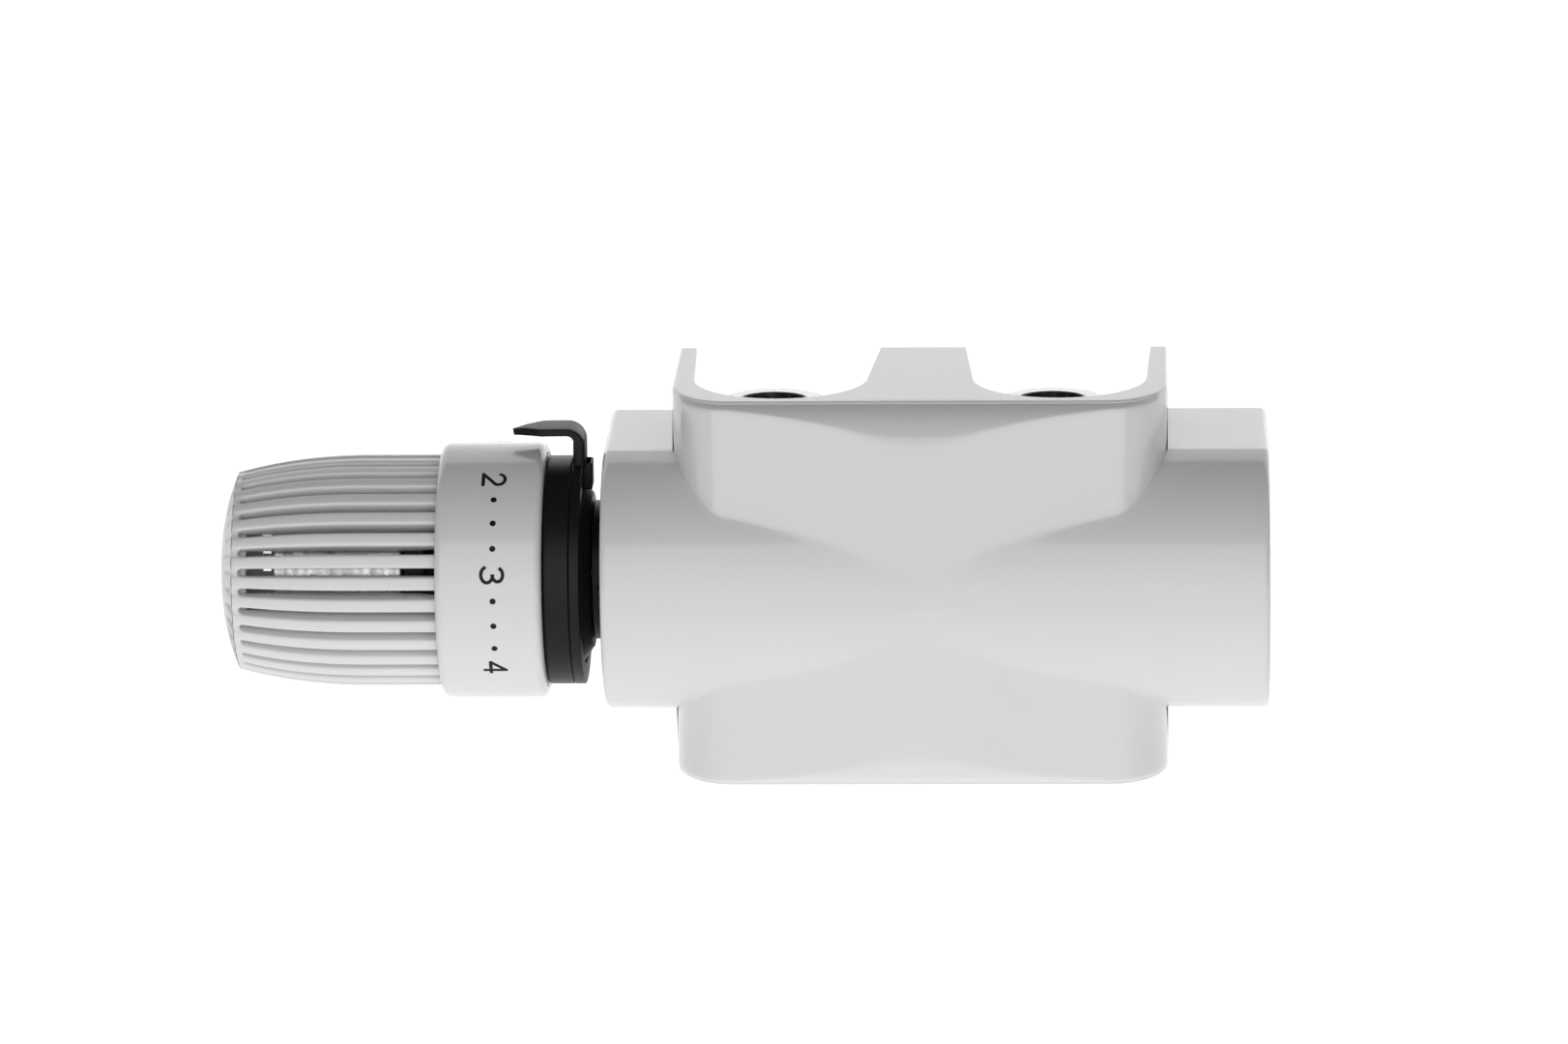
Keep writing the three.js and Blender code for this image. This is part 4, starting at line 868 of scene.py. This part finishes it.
# ---- Materials -----------------------------------------------------------------------------
def surface(name, colour, rough, metal=0.0, grain=900.0, bump=0.02, mottle=0.04, rough_spread=0.06,
            stretch=(1, 1, 1), shine=0.5):
    """Material with a faintly mottled colour, uneven gloss and a fine relief, all by noise."""
    mat = bpy.data.materials.new(name)
    mat.use_nodes = True
    nodes, links = mat.node_tree.nodes, mat.node_tree.links
    nodes.clear()
    out = nodes.new("ShaderNodeOutputMaterial")
    shader = nodes.new("ShaderNodeBsdfPrincipled")
    links.new(shader.outputs["BSDF"], out.inputs["Surface"])
    shader.inputs["Metallic"].default_value = metal
    shader.inputs["Specular IOR Level"].default_value = shine
    coords = nodes.new("ShaderNodeTexCoord")
    scaled = nodes.new("ShaderNodeMapping")
    scaled.inputs["Scale"].default_value = stretch
    links.new(coords.outputs["Object"], scaled.inputs["Vector"])

    def noise(scale, detail):
        node = nodes.new("ShaderNodeTexNoise")
        node.inputs["Scale"].default_value = scale
        node.inputs["Detail"].default_value = detail
        links.new(scaled.outputs["Vector"], node.inputs["Vector"])
        return node.outputs["Fac"]

    def spread(value, low, high):
        node = nodes.new("ShaderNodeMapRange")
        node.inputs["From Min"].default_value = 0.3
        node.inputs["From Max"].default_value = 0.7
        node.inputs["To Min"].default_value = low
        node.inputs["To Max"].default_value = high
        links.new(value, node.inputs["Value"])
        return node.outputs["Result"]

    broad = noise(45.0, 3.0)
    fine = noise(grain, 4.0)
    mix = nodes.new("ShaderNodeMix")
    mix.data_type = "RGBA"
    mix.inputs["A"].default_value = (*[c * (1 - mottle) for c in colour], 1)
    mix.inputs["B"].default_value = (*[min(1, c * (1 + mottle)) for c in colour], 1)
    links.new(spread(broad, 0, 1), mix.inputs["Factor"])
    links.new(mix.outputs["Result"], shader.inputs["Base Color"])
    links.new(spread(fine, rough - rough_spread, rough + rough_spread), shader.inputs["Roughness"])
    relief = nodes.new("ShaderNodeBump")
    relief.inputs["Strength"].default_value = bump
    relief.inputs["Distance"].default_value = 0.0002
    links.new(fine, relief.inputs["Height"])
    links.new(relief.outputs["Normal"], shader.inputs["Normal"])
    return mat


LOOKS = {
    "white_gloss": surface("white_gloss", (0.63, 0.63, 0.627), 0.14, bump=0.015, mottle=0.01,
                           rough_spread=0.03),
    "white_satin": surface("white_satin", (0.64, 0.64, 0.637), 0.33, bump=0.05, mottle=0.015, grain=2500),
    "black_plastic": surface("black_plastic", (0.006, 0.006, 0.006), 0.42, bump=0.06, mottle=0.1,
                             grain=2500, shine=0.2),
    "nickel_plate": surface("nickel_plate", (0.42, 0.41, 0.39), 0.24, 1.0, bump=0.05, rough_spread=0.08),
    "brass": surface("brass", (0.72, 0.50, 0.22), 0.3, 1.0, bump=0.05, rough_spread=0.08),
    "steel": surface("steel", (0.56, 0.57, 0.58), 0.3, 1.0, bump=0.05, rough_spread=0.08),
    "aluminium_can": surface("aluminium_can", (0.8, 0.8, 0.79), 0.36, 1.0, bump=1.0, grain=900, mottle=0.25,
                             rough_spread=0.12, stretch=(1, 0.6, 0.6)),
    "rubber": surface("rubber", (0.02, 0.02, 0.02), 0.7, bump=0.2, mottle=0.15),
    "fibre": surface("fibre", (0.28, 0.12, 0.07), 0.85, bump=0.5, mottle=0.25, grain=3000),
}
SHOWN = {
    "white_gloss": [cover_piece, ring_skin],
    "white_satin": [basket, lid],
    "black_plastic": [marks, base_skin, pointer_skin, neck_skin],
    "aluminium_can": [can],
    "nickel_plate": [*tail_pieces, *union_nuts, head_nut],
}
for look, pieces in SHOWN.items():
    for piece in pieces:
        piece.data.materials.append(LOOKS[look])

CAD_LOOKS = {
    "nickel_plate": ["valve_body", "union_nut_left", "union_nut_right", "tail_piece_left",
                     "tail_piece_right", "head_union_nut", "lockshield_cap"],
    "brass": ["insert_bonnet", "gland_nut", "spring_cup", "lockshield_bonnet", "lockshield_plug"],
    "steel": ["valve_spindle", "return_spring", "push_rod", "overtravel_spring", "carrier_clip"],
    "rubber": ["insert_seal", "gland_seal", "valve_disc", "lockshield_seal", "plug_seal", "tail_seal_left",
               "tail_seal_right"],
    "fibre": ["flat_gasket_left", "flat_gasket_right"],
    "black_plastic": ["sensor_carrier", "base_socket", "pointer_ring", "neck_sleeve"],
    "white_gloss": ["cover_shell", "scale_ring"],
    "white_satin": ["handwheel_cage", "end_disc"],
    "aluminium_can": ["sensor_can"],
}
for look, names in CAD_LOOKS.items():
    for name in names:
        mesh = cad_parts[name].data
        mesh.materials.clear()
        mesh.materials.append(LOOKS[look])

# ---- Stage ---------------------------------------------------------------------------------
LENS_RATIO = 5.2404                                 # focal length over the sensor's width
AZIMUTH, ELEVATION, ROLL = math.radians(2.554), math.radians(14.5), math.radians(-0.792)
DISTANCE = 1.5057
TARGET = np.array([VALVE_X - 0.02444, BACK, AXIS_Z + 0.0026])


def camera():
    """Long lens that looks down and slightly from the right, a little rolled."""
    back = np.array([math.sin(AZIMUTH) * math.cos(ELEVATION), -math.cos(AZIMUTH) * math.cos(ELEVATION),
                     math.sin(ELEVATION)])
    right = np.array([math.cos(AZIMUTH), math.sin(AZIMUTH), 0])
    up = np.cross(back, right)
    turned_right = right * math.cos(ROLL) + up * math.sin(ROLL)
    turned_up = -right * math.sin(ROLL) + up * math.cos(ROLL)
    data = bpy.data.cameras.new("camera")
    data.sensor_width = 36
    data.lens = LENS_RATIO * data.sensor_width
    data.clip_start, data.clip_end = 0.01, 50
    obj = bpy.data.objects.new("camera", data)
    matrix = np.eye(4)
    matrix[:3, 0], matrix[:3, 1], matrix[:3, 2] = turned_right, turned_up, back
    matrix[:3, 3] = TARGET + back * DISTANCE
    obj.matrix_world = Matrix(matrix.tolist())
    bpy.context.scene.collection.objects.link(obj)
    bpy.context.scene.camera = obj


def stage_plane(name, corners, colour, glow):
    """Flat lit sheet of the studio, between its four corners."""
    mesh = bpy.data.meshes.new(name)
    mesh.from_pydata(corners, [], [(0, 1, 2, 3)])
    obj = bpy.data.objects.new(name, mesh)
    bpy.context.scene.collection.objects.link(obj)
    mat = surface(name + "_paint", (colour, colour, colour), 0.9, bump=0.0, mottle=0.0)
    shader = next(n for n in mat.node_tree.nodes if n.type == "BSDF_PRINCIPLED")
    shader.inputs["Emission Color"].default_value = (1, 1, 1, 1)
    shader.inputs["Emission Strength"].default_value = glow
    mesh.materials.append(mat)
    return obj


def area_light(name, place, aim, size, power):
    """Soft rectangular lamp at "place", facing "aim"."""
    data = bpy.data.lights.new(name, "AREA")
    data.shape = "RECTANGLE"
    data.size, data.size_y = size
    data.energy = power
    obj = bpy.data.objects.new(name, data)
    direction = Vector(aim) - Vector(place)
    obj.rotation_euler = direction.to_track_quat("-Z", "Y").to_euler()
    obj.location = place
    bpy.context.scene.collection.objects.link(obj)


FLOOR_Z = -0.15
stage_plane("floor", [(-4, -4, FLOOR_Z), (4, -4, FLOOR_Z), (4, 3, FLOOR_Z), (-4, 3, FLOOR_Z)], 0.8, 0.72)
stage_plane("backdrop", [(-4, 3, FLOOR_Z), (4, 3, FLOOR_Z), (4, 3, 4), (-4, 3, 4)], 0.8, 1.1)
area_light("front_light", (0.0, -2.4, 0.7), (0, 0, 0.7), (5.0, 2.6), 61)
world = bpy.data.worlds.new("studio")
world.use_nodes = True
world.node_tree.nodes["Background"].inputs["Color"].default_value = (1, 1, 1, 1)
world.node_tree.nodes["Background"].inputs["Strength"].default_value = 0.08
bpy.context.scene.world = world
bpy.context.scene.view_settings.view_transform = "Standard"
camera()
